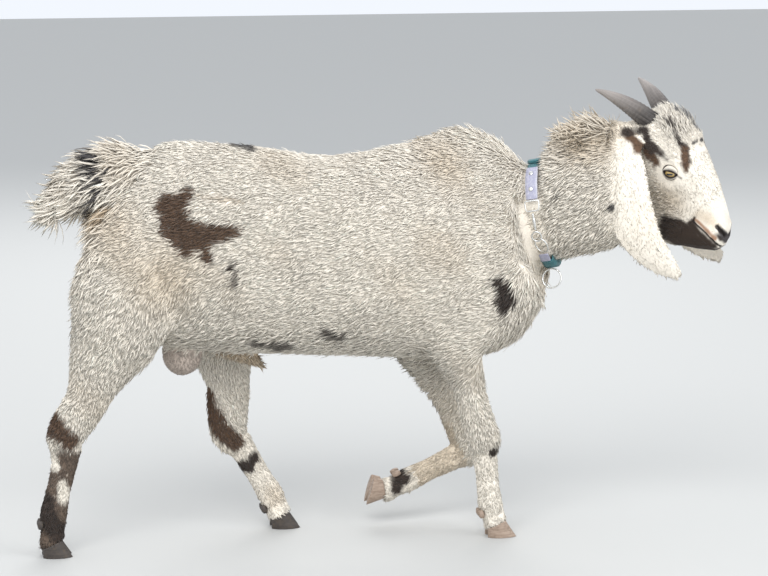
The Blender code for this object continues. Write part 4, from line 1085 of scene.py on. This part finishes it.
@dataclass(frozen=True)
class Lids:
    """Upper and lower lid as one thin shell round an almond opening."""

    half_wide: float = 57.0
    half_up: float = 20.0
    half_down: float = 15.0
    slope: float = 15.0
    inner: float = 0.01575
    edge: float = 0.0169
    fold: float = 0.0179
    hem: float = 0.0150
    outer_angle: float = 82.0
    around: int = 72
    across: int = 8

    def opening(self, turn: np.ndarray) -> np.ndarray:
        """Gives the opening's half angle in each direction round the gaze."""
        wide = np.abs(np.cos(turn)) / self.half_wide
        tall = np.abs(np.sin(turn)) / np.where(np.sin(turn) > 0, self.half_up, self.half_down)
        return (wide ** 1.7 + tall ** 1.7) ** (-1.0 / 1.7)

    def build(self, side: int) -> tuple:
        """Builds one eye's lids as points, triangles and colours."""
        centre, gaze, level, upright = gaze_axes(side)
        onward = math.copysign(1.0, HEAD.turn(np.array((1.0, 0.0, 0.0))) @ level)
        slope = math.radians(self.slope)
        corner = onward * math.cos(slope) * level - math.sin(slope) * upright
        upper = math.cos(slope) * upright + onward * math.sin(slope) * level
        turn = np.linspace(0.0, 2.0 * math.pi, self.around, endpoint=False)
        start = np.radians(self.opening(turn))
        steps = np.linspace(0.0, 1.0, self.across)
        angles = [start + (math.radians(self.outer_angle) - start) * s for s in steps]
        radii = [self.edge + (self.fold - self.edge) * math.sin(math.pi * min(1.0, s * 1.6) / 2)
                 - (self.fold - self.hem) * max(0.0, s - 0.35) ** 1.5 / 0.65 ** 1.5 for s in steps]
        angles += [angles[-1] - 0.02, start + 0.01]
        radii += [self.inner - 0.0003, self.inner]
        direction = np.cos(turn)[:, None] * corner + np.sin(turn)[:, None] * upper
        rings = [centre + r * (np.cos(a)[:, None] * gaze + np.sin(a)[:, None] * direction)
                 for a, r in zip(angles, radii)]
        points = np.concatenate(rings)
        count = len(rings)
        faces = []
        for k in range(count):
            after = (k + 1) % count
            for i in range(self.around):
                j = (i + 1) % self.around
                a, b, c, d = (k * self.around + i, k * self.around + j, after * self.around + j,
                              after * self.around + i)
                faces += [(a, b, c), (a, c, d)]
        faces = np.array(faces)
        spots = points[faces]
        volume = np.sum(np.cross(spots[:, 0] - centre, spots[:, 1] - centre) * (spots[:, 2] - centre))
        if volume < 0:
            faces = faces[:, ::-1]
        near = np.clip(1.0 - (np.repeat(np.arange(count), self.around) - 1.0) / 2.5, 0.0, 1.0)
        near[self.across * self.around:] = 1.0
        base = np.tile(np.array(Tint.CREAM.value) * 0.85, (len(points), 1))
        return points, faces, base + near[:, None] * (np.array(Tint.MOUTH.value) - base)

# ---------------------------------------------------------------- coat
@dataclass
class Coat:
    """Tufts of hair over the skin, as closed tapering prisms that follow the lie of the coat."""

    skin: Skin
    piece_faces: int = 185000
    quick_share: float = 0.3
    sink: float = 0.0012
    patch: float = 0.003
    colour_at: float = 0.55
    nostril_rim: float = 0.006
    lip_rim: float = 0.0022
    nose_pad: tuple[float, float, float] = (0.176, 0.03, -0.014)
    face_from: float = 0.55
    eye_rim: float = 0.0171
    look_for_horn: float = 0.004
    horn_rim: float = 0.0013
    strap_half: float = 0.0126
    strap_reach: float = 0.060
    strap_lift: float = 26.0
    least_length: float = 0.004
    pressed_half: float = 0.028
    pressed_length: float = 0.017
    pressed_lift: float = 6.0
    ruffled_share: float = 0.04
    collar: "Neckband | None" = None
    rng: np.random.Generator = field(default_factory=lambda: np.random.default_rng(SEED))

    def scatter(self) -> dict:
        """Spreads roots over the skin and reads the fields at them."""
        skin = self.skin
        surface = skin.surface
        corners = skin.corners
        spots = surface.points[corners]
        cross = np.cross(spots[:, 1] - spots[:, 0], spots[:, 2] - spots[:, 0])
        area = np.linalg.norm(cross, axis=1) / 2
        density = skin.fields[corners, 4].mean(1)
        weight = np.cumsum(area * density)
        count = int(weight[-1])
        picks = np.searchsorted(weight, (np.arange(count) + self.rng.random(count)) * weight[-1] / count)
        picks = np.minimum(picks, len(corners) - 1)
        a, b = self.rng.random(count), self.rng.random(count)
        flip = a + b > 1
        a[flip], b[flip] = 1 - a[flip], 1 - b[flip]
        shares = np.stack([1 - a - b, a, b], 1)
        three = corners[picks]

        def read(values: np.ndarray) -> np.ndarray:
            """Gives values at the roots."""
            return np.einsum("nk,nkc->nc", shares, values[three])

        nearest = three[np.arange(count), shares.argmax(1)]
        found = {"root": read(surface.points), "normal": unit(read(surface.normals)),
                 "flow": read(skin.flow), "fields": read(skin.fields), "label": skin.labels[nearest]}
        middle = found["root"] + found["flow"] * (self.colour_at * found["fields"][:, 1:2])
        found["colour"] = Markings().colours(middle, found["label"], skin.names)
        return found

    def keep(self, found: dict) -> dict:
        """Drops roots on wet or hard places and under the strap, and shortens those that would lie over it."""
        root = found["root"]
        local = HEAD.local(root)
        mirrored = local.copy()
        mirrored[:, 1] = -np.abs(local[:, 1])
        wet = chain_reach(mirrored, NOSTRIL) < self.nostril_rim
        wet |= chain_reach(mirrored, MOUTH) < self.lip_rim
        pad_from, pad_half, pad_low = self.nose_pad
        wet |= (local[:, 0] > pad_from) & (np.abs(local[:, 1]) < pad_half) & (local[:, 2] > pad_low)
        wet &= root[:, 0] > self.face_from
        stay = ~wet & (self.skin.eye_reach(local) > self.eye_rim)
        tree = self.hard_tree()
        beside = np.array([tree.find_nearest(Vector(p), self.look_for_horn)[3] or 1.0 for p in root])
        stay &= beside > self.horn_rim
        offset, low, strapped = self.collar.offsets(root)
        stay &= ~((np.abs(offset) < self.strap_half) & strapped)
        ahead = (offset >= self.strap_half) & (offset < self.strap_reach) & strapped
        room = np.where(ahead, (offset - self.strap_half) * 0.95 + self.least_length, 1.0)
        length, lift = found["fields"][:, 1], found["fields"][:, 3]
        length = np.minimum(length, room)
        lift = np.where(ahead, np.minimum(lift, self.strap_lift), lift)
        pressed = low & (np.abs(offset) < self.pressed_half)
        found["fields"][:, 1] = np.where(pressed, np.minimum(length, self.pressed_length), length)
        found["fields"][:, 3] = np.where(pressed, self.pressed_lift, lift)
        return {key: value[stay] for key, value in found.items()}

    def hard_tree(self) -> BVHTree:
        """Gives a search tree of horns and hooves."""
        corners = []
        faces = []
        for name, node in frame["nodes"].items():
            if name.startswith("horn") or "claw" in name:
                start = len(corners)
                corners.extend(v.co.copy() for v in node.data.vertices)
                faces.extend([start + i for i in p.vertices] for p in node.data.polygons)
        return BVHTree.FromPolygons(corners, faces)

    def atlas(self, found: dict) -> np.ndarray:
        """Places each root on an unwrap of the skin: a tile for each solid, rolled out round its long axis."""
        place_on = np.zeros((len(found["root"]), 2))
        across = math.ceil(math.sqrt(len(self.skin.names)))
        for number, name in enumerate(self.skin.names):
            here = found["label"] == number
            low, high = (np.array(c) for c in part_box(name))
            size = high - low
            long = int(np.argmax(size))
            sides = [i for i in range(3) if i != long]
            spot = found["root"][here] - (low + high) / 2
            turn = np.arctan2(spot[:, sides[0]], spot[:, sides[1]]) / (2 * math.pi) + 0.5
            along = np.clip(spot[:, long] / size[long] + 0.5, 0.0, 1.0)
            tile = np.array((number % across, number // across))
            place_on[here] = (tile + 0.03 + 0.94 * np.stack([turn, along], 1)) / across
        return place_on

    def build(self) -> None:
        """Builds all tufts, in pieces by part of the goat and kind of tuft."""
        found = self.keep(self.scatter())
        found["atlas"] = self.atlas(found)
        finish = HairFinish().make()
        kinds = np.array([self.group(n) for n in self.skin.names])[found["label"]]
        length = found["fields"][:, 1]
        rings = np.where(length < 0.0285, 2, np.where(length < 0.040, 3, 4))
        for kind in sorted(set(kinds)):
            for count in (2, 3, 4):
                here = np.flatnonzero((kinds == kind) & (rings == count))
                if not len(here):
                    continue
                per_tuft = 6 * (count - 1) + 4
                order = here[np.argsort(found["root"][here, 0], kind="stable")]
                parts = math.ceil(len(order) * per_tuft / self.piece_faces)
                for number, chosen in enumerate(np.array_split(order, parts)):
                    picked = {key: value[chosen] for key, value in found.items()}
                    self.piece(f"coat_{kind}_{count}_{number + 1}", picked, count, finish)

    def group(self, name: str) -> str:
        """Gives the coat piece that a solid's tufts go to."""
        kind = kind_of(name)
        if kind in ("forearm", "gaskin", "cannon", "foot"):
            return "forelegs" if "fore" in name.split("_")[0] else "hindlegs"
        return {"ear": "ears", "scrotum": "trunk", "sheath": "trunk"}.get(kind, kind)

    def piece(self, name: str, found: dict, rings: int, finish: bpy.types.Material) -> None:
        """Builds one coat piece.

        Args:
            name: name of the piece.
            found: roots with their normals, ways, sizes, colours and places on the atlas.
            rings: rings of each tuft.
            finish: its material.
        """
        rng = self.rng
        count = len(found["root"])
        normal = found["normal"]
        flow = found["flow"] - np.sum(found["flow"] * normal, axis=1, keepdims=True) * normal
        flow = unit(flow)
        side = np.cross(normal, flow)
        length = found["fields"][:, 1] * rng.uniform(0.72, 1.22, count)
        width = found["fields"][:, 2] * rng.uniform(0.75, 1.25, count)
        lift = np.radians(found["fields"][:, 3]) * rng.uniform(0.55, 1.35, count)
        ruffled = rng.random(count) < self.ruffled_share
        lift = np.where(ruffled, lift * 1.5 + 0.1, lift)
        wave = ripple(found["root"], 0.035)
        yaw = rng.normal(0.0, 0.20, count) + 0.35 * wave
        bend = rng.normal(0.0, 0.38, count)
        place_now = found["root"] - normal * self.sink
        points = np.zeros((count, 3 * rings + 1, 3))
        across = np.array((-0.5, 0.5, 0.0))
        for k in range(rings + 1):
            share = k / rings
            turn = yaw + bend * share
            angle = lift * (1.0 - 1.15 * share)
            ahead = flow * np.cos(turn)[:, None] + side * np.sin(turn)[:, None]
            if k == rings:
                points[:, 3 * rings] = place_now
                break
            beside = np.cross(normal, ahead)
            wide = width * (1.0 - 0.62 * share ** 1.6) * (0.8 if k == 0 else 1.0)
            for corner in range(3):
                rise = 0.34 * wide if corner == 2 else 0.0
                points[:, 3 * k + corner] = (place_now + beside * (across[corner] * wide)[:, None]
                                             + normal * np.broadcast_to(rise, (count,))[:, None])
            step = ahead * np.cos(angle)[:, None] + normal * np.sin(angle)[:, None]
            place_now = place_now + step * (length / rings)[:, None]
        faces = self.template(rings)
        spots = points[0][faces] - points[0].mean(0)
        if np.sum(np.cross(spots[:, 0], spots[:, 1]) * spots[:, 2]) < 0:
            faces = faces[:, ::-1]
        per_tuft = 3 * rings + 1
        numbers = (np.arange(count) * per_tuft)[:, None, None] + faces[None]
        data = grid_mesh(name, points.reshape(-1, 3), numbers.reshape(-1, 3))
        station = np.append(np.repeat(np.arange(rings) / rings, 3), 1.0)
        sideways = np.append(np.tile(across, rings), 0.0)
        tone = rng.normal(1.0, 0.055, count)[:, None] * (0.84 + 0.20 * station)[None]
        colours = found["colour"][:, None, :] * tone[:, :, None]
        point_colours(data, "coat", np.clip(colours.reshape(-1, 3), 0.003, 0.95))
        loops = faces.ravel()
        strand = np.stack([rng.random(count)[:, None] * 60.0 + sideways[loops][None],
                           rng.random(count)[:, None] * 60.0 + station[loops][None] * 2.0], 2)
        self.write_uv(data, "Strand", strand)
        patch = np.stack([found["atlas"][:, :1] + sideways[loops][None] * self.patch,
                          found["atlas"][:, 1:] + (station[loops][None] - 0.5) * self.patch], 2)
        self.write_uv(data, "OFBake", patch)
        settle(new_object(name, data), finish)

    def template(self, rings: int) -> np.ndarray:
        """Gives the triangles of one tuft: its sides, its tip and its base."""
        faces = []
        for k in range(rings - 1):
            for i in range(3):
                j = (i + 1) % 3
                a, b = 3 * k + i, 3 * k + j
                faces += [(a, b, b + 3), (a, b + 3, a + 3)]
        last = 3 * (rings - 1)
        faces += [(last, last + 1, last + 3), (last + 1, last + 2, last + 3), (last + 2, last, last + 3)]
        return np.array(faces + [(2, 1, 0)])

    def write_uv(self, data: bpy.types.Mesh, name: str, values: np.ndarray) -> None:
        """Stores a UV map."""
        layer = data.uv_layers.new(name=name)
        layer.data.foreach_set("uv", values.astype(np.float32).ravel())

# ---------------------------------------------------------------- hard pieces
@dataclass(frozen=True)
class Eye:
    """One eyeball with a bulged cornea."""

    radius: float = 0.0155
    bulge: float = 0.0009
    cornea: float = 0.70

    def build(self, side: int, name: str) -> bpy.types.Object:
        """Builds the eye of one side."""
        centre, gaze, level, upright = gaze_axes(side)
        mesh = bmesh.new()
        bmesh.ops.create_icosphere(mesh, subdivisions=5, radius=1.0)
        data = bpy.data.meshes.new(name)
        mesh.to_mesh(data)
        mesh.free()
        ways = unit(coordinates(data))
        seen = np.stack([ways @ level, ways @ upright, ways @ gaze], 1)
        away = np.hypot(seen[:, 0], seen[:, 1])
        lift = self.bulge * ramp(away, self.cornea, 0.2) * (seen[:, 2] > 0)
        place(data, centre + ways * (self.radius - self.bulge * 0.4 + lift)[:, None])
        data.shade_smooth()
        point_vectors(data, "gaze", np.where(seen[:, 2:] > 0, seen, 9.0))
        thing = new_object(name, data)
        settle(thing, EyeFinish().make(), (name,))
        return thing

@dataclass(frozen=True)
class Horn:
    """One horn with lengthwise grain and growth rings, fullest at its base."""

    rings: float = 17.0
    ring_depth: float = 0.0006

    def build(self, name: str) -> bpy.types.Object:
        """Builds one horn over its solid."""
        thing = rounded_copy(name + "_horn", name, 3, 80.0, 0.0006)
        points = coordinates(thing.data)
        head = HEAD.world(np.zeros((1, 3)))[0]
        away = np.linalg.norm(points - head, axis=1)
        order = np.argsort(away)
        low, tip = points[order[:60]].mean(0), points[order[-8:]].mean(0)
        axis = unit(tip - low)
        grown = (points - low) @ axis / np.linalg.norm(tip - low)
        around = points - low - ((points - low) @ axis)[:, None] * axis
        hint = unit(np.cross(axis, (0.0, 0.0, 1.0)))
        other = np.cross(axis, hint)
        turn = np.arctan2(around @ hint, around @ other)
        normals = Surface(thing.data).normals
        wave = np.sin(grown * 2 * math.pi * self.rings + 1.2 * np.sin(turn * 2 + grown * 9))
        keel = np.sin(turn * 5 + 2.0 * grown) * 0.4
        height = self.ring_depth * (wave + keel) * ramp(grown, 1.0, 0.35)
        place(thing.data, points + normals * height[:, None])
        point_vectors(thing.data, "grown", np.stack([np.cos(turn), np.sin(turn), grown], 1))
        settle(thing, HornFinish().make(), (name,))
        return thing

@dataclass(frozen=True)
class Hooves:
    """Claws and dewclaws of the four feet."""

    pale: tuple[float, float, float] = (0.42, 0.32, 0.25)
    dark: tuple[float, float, float] = (0.070, 0.058, 0.050)

    def build(self) -> None:
        """Builds all sixteen."""
        fore = HoofFinish("pale_hoof", self.pale, (0.20, 0.14, 0.10)).make()
        hind = HoofFinish("dark_hoof", self.dark, (0.03, 0.025, 0.022)).make()
        for leg in LEGS:
            finish, slot = (fore, "hoof_pale") if "fore" in leg else (hind, "hoof_dark")
            for part in ("claw", "dewclaw"):
                for number in ("inner", "outer"):
                    node = f"{leg}_{part}_{number}"
                    thing = rounded_copy(node + "_horn", node, 3 if part == "claw" else 2, 38.0)
                    spots = coordinates(thing.data)
                    up = (spots[:, 2] - spots[:, 2].min()) / np.ptp(spots[:, 2])
                    size = spots - spots.mean(0)
                    point_vectors(thing.data, "grown", np.stack([size[:, 0] * 30, size[:, 1] * 30, up], 1))
                    settle(thing, finish, (node,))

@dataclass
class Neckband:
    """Collar: webbing and coated strap with a tab, slide, rivets, wire frame, snap and two rings."""

    top: tuple[float, float, float] = (0.31672, 0.01236, 0.7565)
    bottom: tuple[float, float, float] = (0.35872, 0.01236, 0.5445)
    half_width: float = 0.0765
    turn: float = -28.0
    pressed_arc: tuple[float, float] = (58.0, 192.0)
    open_arc: tuple[float, float] = (68.0, 127.0)
    wire: float = 0.0016
    hook_wire: float = 0.0018

    def axes(self) -> tuple:
        """Gives the collar's middle, its up, its forward and its right direction and its half height."""
        top, bottom = np.array(self.top), np.array(self.bottom)
        up = unit(top - bottom)
        turned = math.radians(self.turn)
        left = np.array((-math.sin(turned), math.cos(turned), 0.0))
        through = unit(np.cross(left, up))
        return (top + bottom) / 2, up, through, np.cross(through, up), np.linalg.norm(top - bottom) / 2

    def offsets(self, points: np.ndarray) -> tuple:
        """Gives each place's distance ahead of the strap's middle, and whether it is by the fittings or the strap."""
        middle, up, through, right, half_height = self.axes()
        away = points - middle
        ahead = away @ through
        high, wide = away @ up, away @ right
        on_neck = np.hypot(high / half_height, wide / self.half_width) < 1.6
        angle = np.degrees(np.arctan2(wide / self.half_width, high / half_height)) % 360.0
        pressed = on_neck & (angle > self.pressed_arc[0]) & (angle < self.pressed_arc[1])
        return ahead, pressed, on_neck & ((angle < self.open_arc[0]) | (angle > self.open_arc[1]))

    def strap_uv(self, data: bpy.types.Mesh) -> None:
        """Lays a UV map in metres across and along the strap."""
        middle, up, through, right, half_height = self.axes()
        numbers = np.empty(len(data.loops), np.int32)
        data.loops.foreach_get("vertex_index", numbers)
        away = coordinates(data)[numbers] - middle
        angle = np.arctan2(away @ right, away @ up)
        layer = data.uv_layers.new(name="Strap")
        layer.data.foreach_set("uv", np.stack([away @ through, angle * 0.09], 1).astype(np.float32).ravel())

    def build(self) -> None:
        """Builds all the collar's pieces."""
        teal = WebbingFinish("teal_webbing", (0.035, 0.22, 0.25)).make()
        strap = LeatherFinish().make()
        steel = SteelFinish().make()
        for node, finish, slot in (("collar_webbing", teal, "webbing"), ("collar_slide", teal, "webbing"),
                                   ("collar_leather", strap, "strap_leather"),
                                   ("collar_tab", strap, "strap_leather")):
            thing = rounded_copy(node + "_band", node, 2, 38.0)
            self.strap_uv(thing.data)
            settle(thing, finish, (node,))
        for node, grow in (("collar_frame", 0.00025), ("collar_snap_barrel", 0.0001)):
            settle(rounded_copy(node + "_steel", node, 2, 70.0, grow), steel, (node,))
        for node, wire in (("collar_ring_upper", self.wire), ("collar_ring_lower", self.wire),
                           ("collar_snap_hook", self.hook_wire)):
            self.ring(node, wire, steel)
        self.rivets(steel)

    def ring(self, node: str, wire: float, steel: bpy.types.Material) -> None:
        """Sweeps a round wire along the circle of a ring's solid."""
        spots = coordinates(frame["nodes"][node].data)
        middle = spots.mean(0)
        first, second = np.linalg.svd(spots - middle, full_matrices=False)[2][:2]
        radius = np.hypot((spots - middle) @ first, (spots - middle) @ second).mean()
        turn = np.linspace(0.0, 2.0 * math.pi, 64, endpoint=False)
        loop = middle + radius * (np.cos(turn)[:, None] * first + np.sin(turn)[:, None] * second)
        data = bpy.data.meshes.new(node)
        data.from_pydata([tuple(p) for p in loop], [(i, (i + 1) % 64) for i in range(64)], [])
        thing = new_object(node + "_wire", data)
        thing.data = nodes_mesh(thing, wire_tree(), {"Wire Radius": wire, "Material": steel})
        settle(thing, steel, (node,))

    def rivets(self, steel: bpy.types.Material) -> None:
        """Sets a domed rivet at each rivet's solid."""
        middle, up, through, right, half_height = self.axes()
        nodes = ("collar_rivet_upper", "collar_rivet_lower")
        spots = [middle_of(n) for n in nodes]
        data = bpy.data.meshes.new("rivets")
        data.from_pydata([tuple(p) for p in spots], [], [])
        out = []
        for spot in spots:
            high, wide = (spot - middle) @ up, (spot - middle) @ right
            out.append(unit(up * high / half_height ** 2 + right * wide / self.half_width ** 2))
        point_vectors(data, "out", np.array(out))
        thing = new_object("collar_rivets", data)
        thing.data = nodes_mesh(thing, rivet_tree(), {"Rivet Radius": 0.0046, "Material": steel})
        settle(thing, steel, nodes)

def tree_with(name: str, sizes: dict) -> tuple:
    """Starts a Geometry Nodes tree with named number inputs and a material input."""
    tree = bpy.data.node_groups.new(name, "GeometryNodeTree")
    tree.interface.new_socket("Geometry", in_out="INPUT", socket_type="NodeSocketGeometry")
    for label, value in sizes.items():
        made = tree.interface.new_socket(label, in_out="INPUT", socket_type="NodeSocketFloat")
        made.default_value = value
    tree.interface.new_socket("Material", in_out="INPUT", socket_type="NodeSocketMaterial")
    tree.interface.new_socket("Geometry", in_out="OUTPUT", socket_type="NodeSocketGeometry")
    return tree, tree.nodes.new("NodeGroupInput"), tree.nodes.new("NodeGroupOutput")

def end_tree(tree: bpy.types.NodeTree, start: bpy.types.Node, end: bpy.types.Node, shape: object) -> None:
    """Ends a tree with smooth shading, realized instances and the material."""
    smooth = tree.nodes.new("GeometryNodeSetShadeSmooth")
    real = tree.nodes.new("GeometryNodeRealizeInstances")
    dress = tree.nodes.new("GeometryNodeSetMaterial")
    tree.links.new(shape, real.inputs["Geometry"])
    tree.links.new(real.outputs["Geometry"], smooth.inputs["Geometry"])
    tree.links.new(smooth.outputs["Geometry"], dress.inputs["Geometry"])
    tree.links.new(start.outputs["Material"], dress.inputs["Material"])
    tree.links.new(dress.outputs["Geometry"], end.inputs["Geometry"])

def wire_tree() -> bpy.types.NodeTree:
    """Tree that sweeps a round wire along an object's edges."""
    tree, start, end = tree_with("wire_along_edges", {"Wire Radius": 0.0016})
    line = tree.nodes.new("GeometryNodeMeshToCurve")
    round_wire = tree.nodes.new("GeometryNodeCurvePrimitiveCircle")
    round_wire.inputs["Resolution"].default_value = 16
    sweep = tree.nodes.new("GeometryNodeCurveToMesh")
    tree.links.new(start.outputs["Geometry"], line.inputs["Mesh"])
    tree.links.new(start.outputs["Wire Radius"], round_wire.inputs["Radius"])
    tree.links.new(line.outputs["Curve"], sweep.inputs["Curve"])
    tree.links.new(round_wire.outputs["Curve"], sweep.inputs["Profile Curve"])
    end_tree(tree, start, end, sweep.outputs["Mesh"])
    return tree

def rivet_tree() -> bpy.types.NodeTree:
    """Tree that sets a flattened dome on each point, facing its 'out' vector."""
    tree, start, end = tree_with("rivets_on_points", {"Rivet Radius": 0.0045})
    dome = tree.nodes.new("GeometryNodeMeshUVSphere")
    dome.inputs["Segments"].default_value = 32
    dome.inputs["Rings"].default_value = 16
    tree.links.new(start.outputs["Rivet Radius"], dome.inputs["Radius"])
    out = tree.nodes.new("GeometryNodeInputNamedAttribute")
    out.data_type = "FLOAT_VECTOR"
    out.inputs["Name"].default_value = "out"
    face = tree.nodes.new("FunctionNodeAlignRotationToVector")
    face.axis = "Z"
    tree.links.new(out.outputs["Attribute"], face.inputs["Vector"])
    put = tree.nodes.new("GeometryNodeInstanceOnPoints")
    tree.links.new(start.outputs["Geometry"], put.inputs["Points"])
    tree.links.new(dome.outputs["Mesh"], put.inputs["Instance"])
    tree.links.new(face.outputs["Rotation"], put.inputs["Rotation"])
    put.inputs["Scale"].default_value = (1.0, 1.0, 0.32)
    end_tree(tree, start, end, put.outputs["Instances"])
    return tree

def nodes_mesh(thing: bpy.types.Object, tree: bpy.types.NodeTree, settings: dict) -> bpy.types.Mesh:
    """Runs a tree on an object with its inputs set and gives the plain mesh."""
    runner = thing.modifiers.new("nodes", "NODES")
    runner.node_group = tree
    for item in tree.interface.items_tree:
        if item.item_type == "SOCKET" and item.in_out == "INPUT" and item.name in settings:
            runner[item.identifier] = settings[item.name]
    plain = evaluated_mesh(thing)
    thing.modifiers.clear()
    return plain

# ---------------------------------------------------------------- studio
@dataclass(frozen=True)
class Studio:
    """Pale floor, soft daylight and the camera."""

    camera_at: tuple[float, float, float] = (-1.0352, -5.8905, 1.512)
    camera_turn: tuple[float, float, float] = (80.5, 0.0, -10.0)
    lens: float = 140.6
    sky: float = 1.0
    lamp_size: float = 3.0
    lamps: tuple = (("key", (-1.6, -3.6, 4.2), 200.0), ("fill", (3.2, -3.2, 2.4), 70.0),
                    ("back", (0.5, 4.0, 3.2), 90.0))

    def build(self) -> None:
        """Builds the floor, the lights and the camera."""
        half = 14.0
        spots = rows([(-half, -half, 0.0), (half, -half, 0.0), (half, half, 0.0), (-half, half, 0.0)])
        floor = new_object("floor", grid_mesh("floor", spots, np.array([[0, 1, 2, 3]])))
        floor.data.materials.append(FloorFinish().make())
        for name, at, power in self.lamps:
            light = bpy.data.lights.new(name, "AREA")
            light.energy = power
            light.size = self.lamp_size
            lamp = bpy.data.objects.new(name, light)
            lamp.location = at
            aim = Vector((0.0, 0.0, 0.45)) - Vector(at)
            lamp.rotation_euler = aim.to_track_quat("-Z", "Y").to_euler()
            bpy.context.scene.collection.objects.link(lamp)
        world = bpy.data.worlds.new("sky")
        world.use_nodes = True
        back = world.node_tree.nodes["Background"]
        socket(back, "Color", (0.90, 0.94, 1.0, 1.0))
        socket(back, "Strength", self.sky)
        bpy.context.scene.world = world
        camera = bpy.data.cameras.new("camera")
        camera.lens = self.lens
        camera.sensor_width = 36.0
        eye = bpy.data.objects.new("camera", camera)
        eye.location = self.camera_at
        eye.rotation_euler = tuple(math.radians(a) for a in self.camera_turn)
        bpy.context.scene.collection.objects.link(eye)
        bpy.context.scene.camera = eye
        bpy.context.scene.view_settings.view_transform = "Standard"

def plain(bounds: tuple) -> list:
    """Gives bounds as plain lists."""
    return [[float(c) for c in corner] for corner in bounds]

def main() -> None:
    """Builds the goat's pieces in order."""
    logging.basicConfig(level=logging.INFO, format="%(message)s")
    HEAD.fit()
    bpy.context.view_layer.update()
    skin = Skin()
    skin.build()
    Coat(skin, collar=Neckband()).build()
    for side, name in ((-1, "eye_right"), (1, "eye_left")):
        Eye().build(side, name)
    for name in ("horn_right", "horn_left"):
        Horn().build(name)
    Hooves().build()
    Neckband().build()
    Studio().build()

if __name__ == "__main__":
    main()
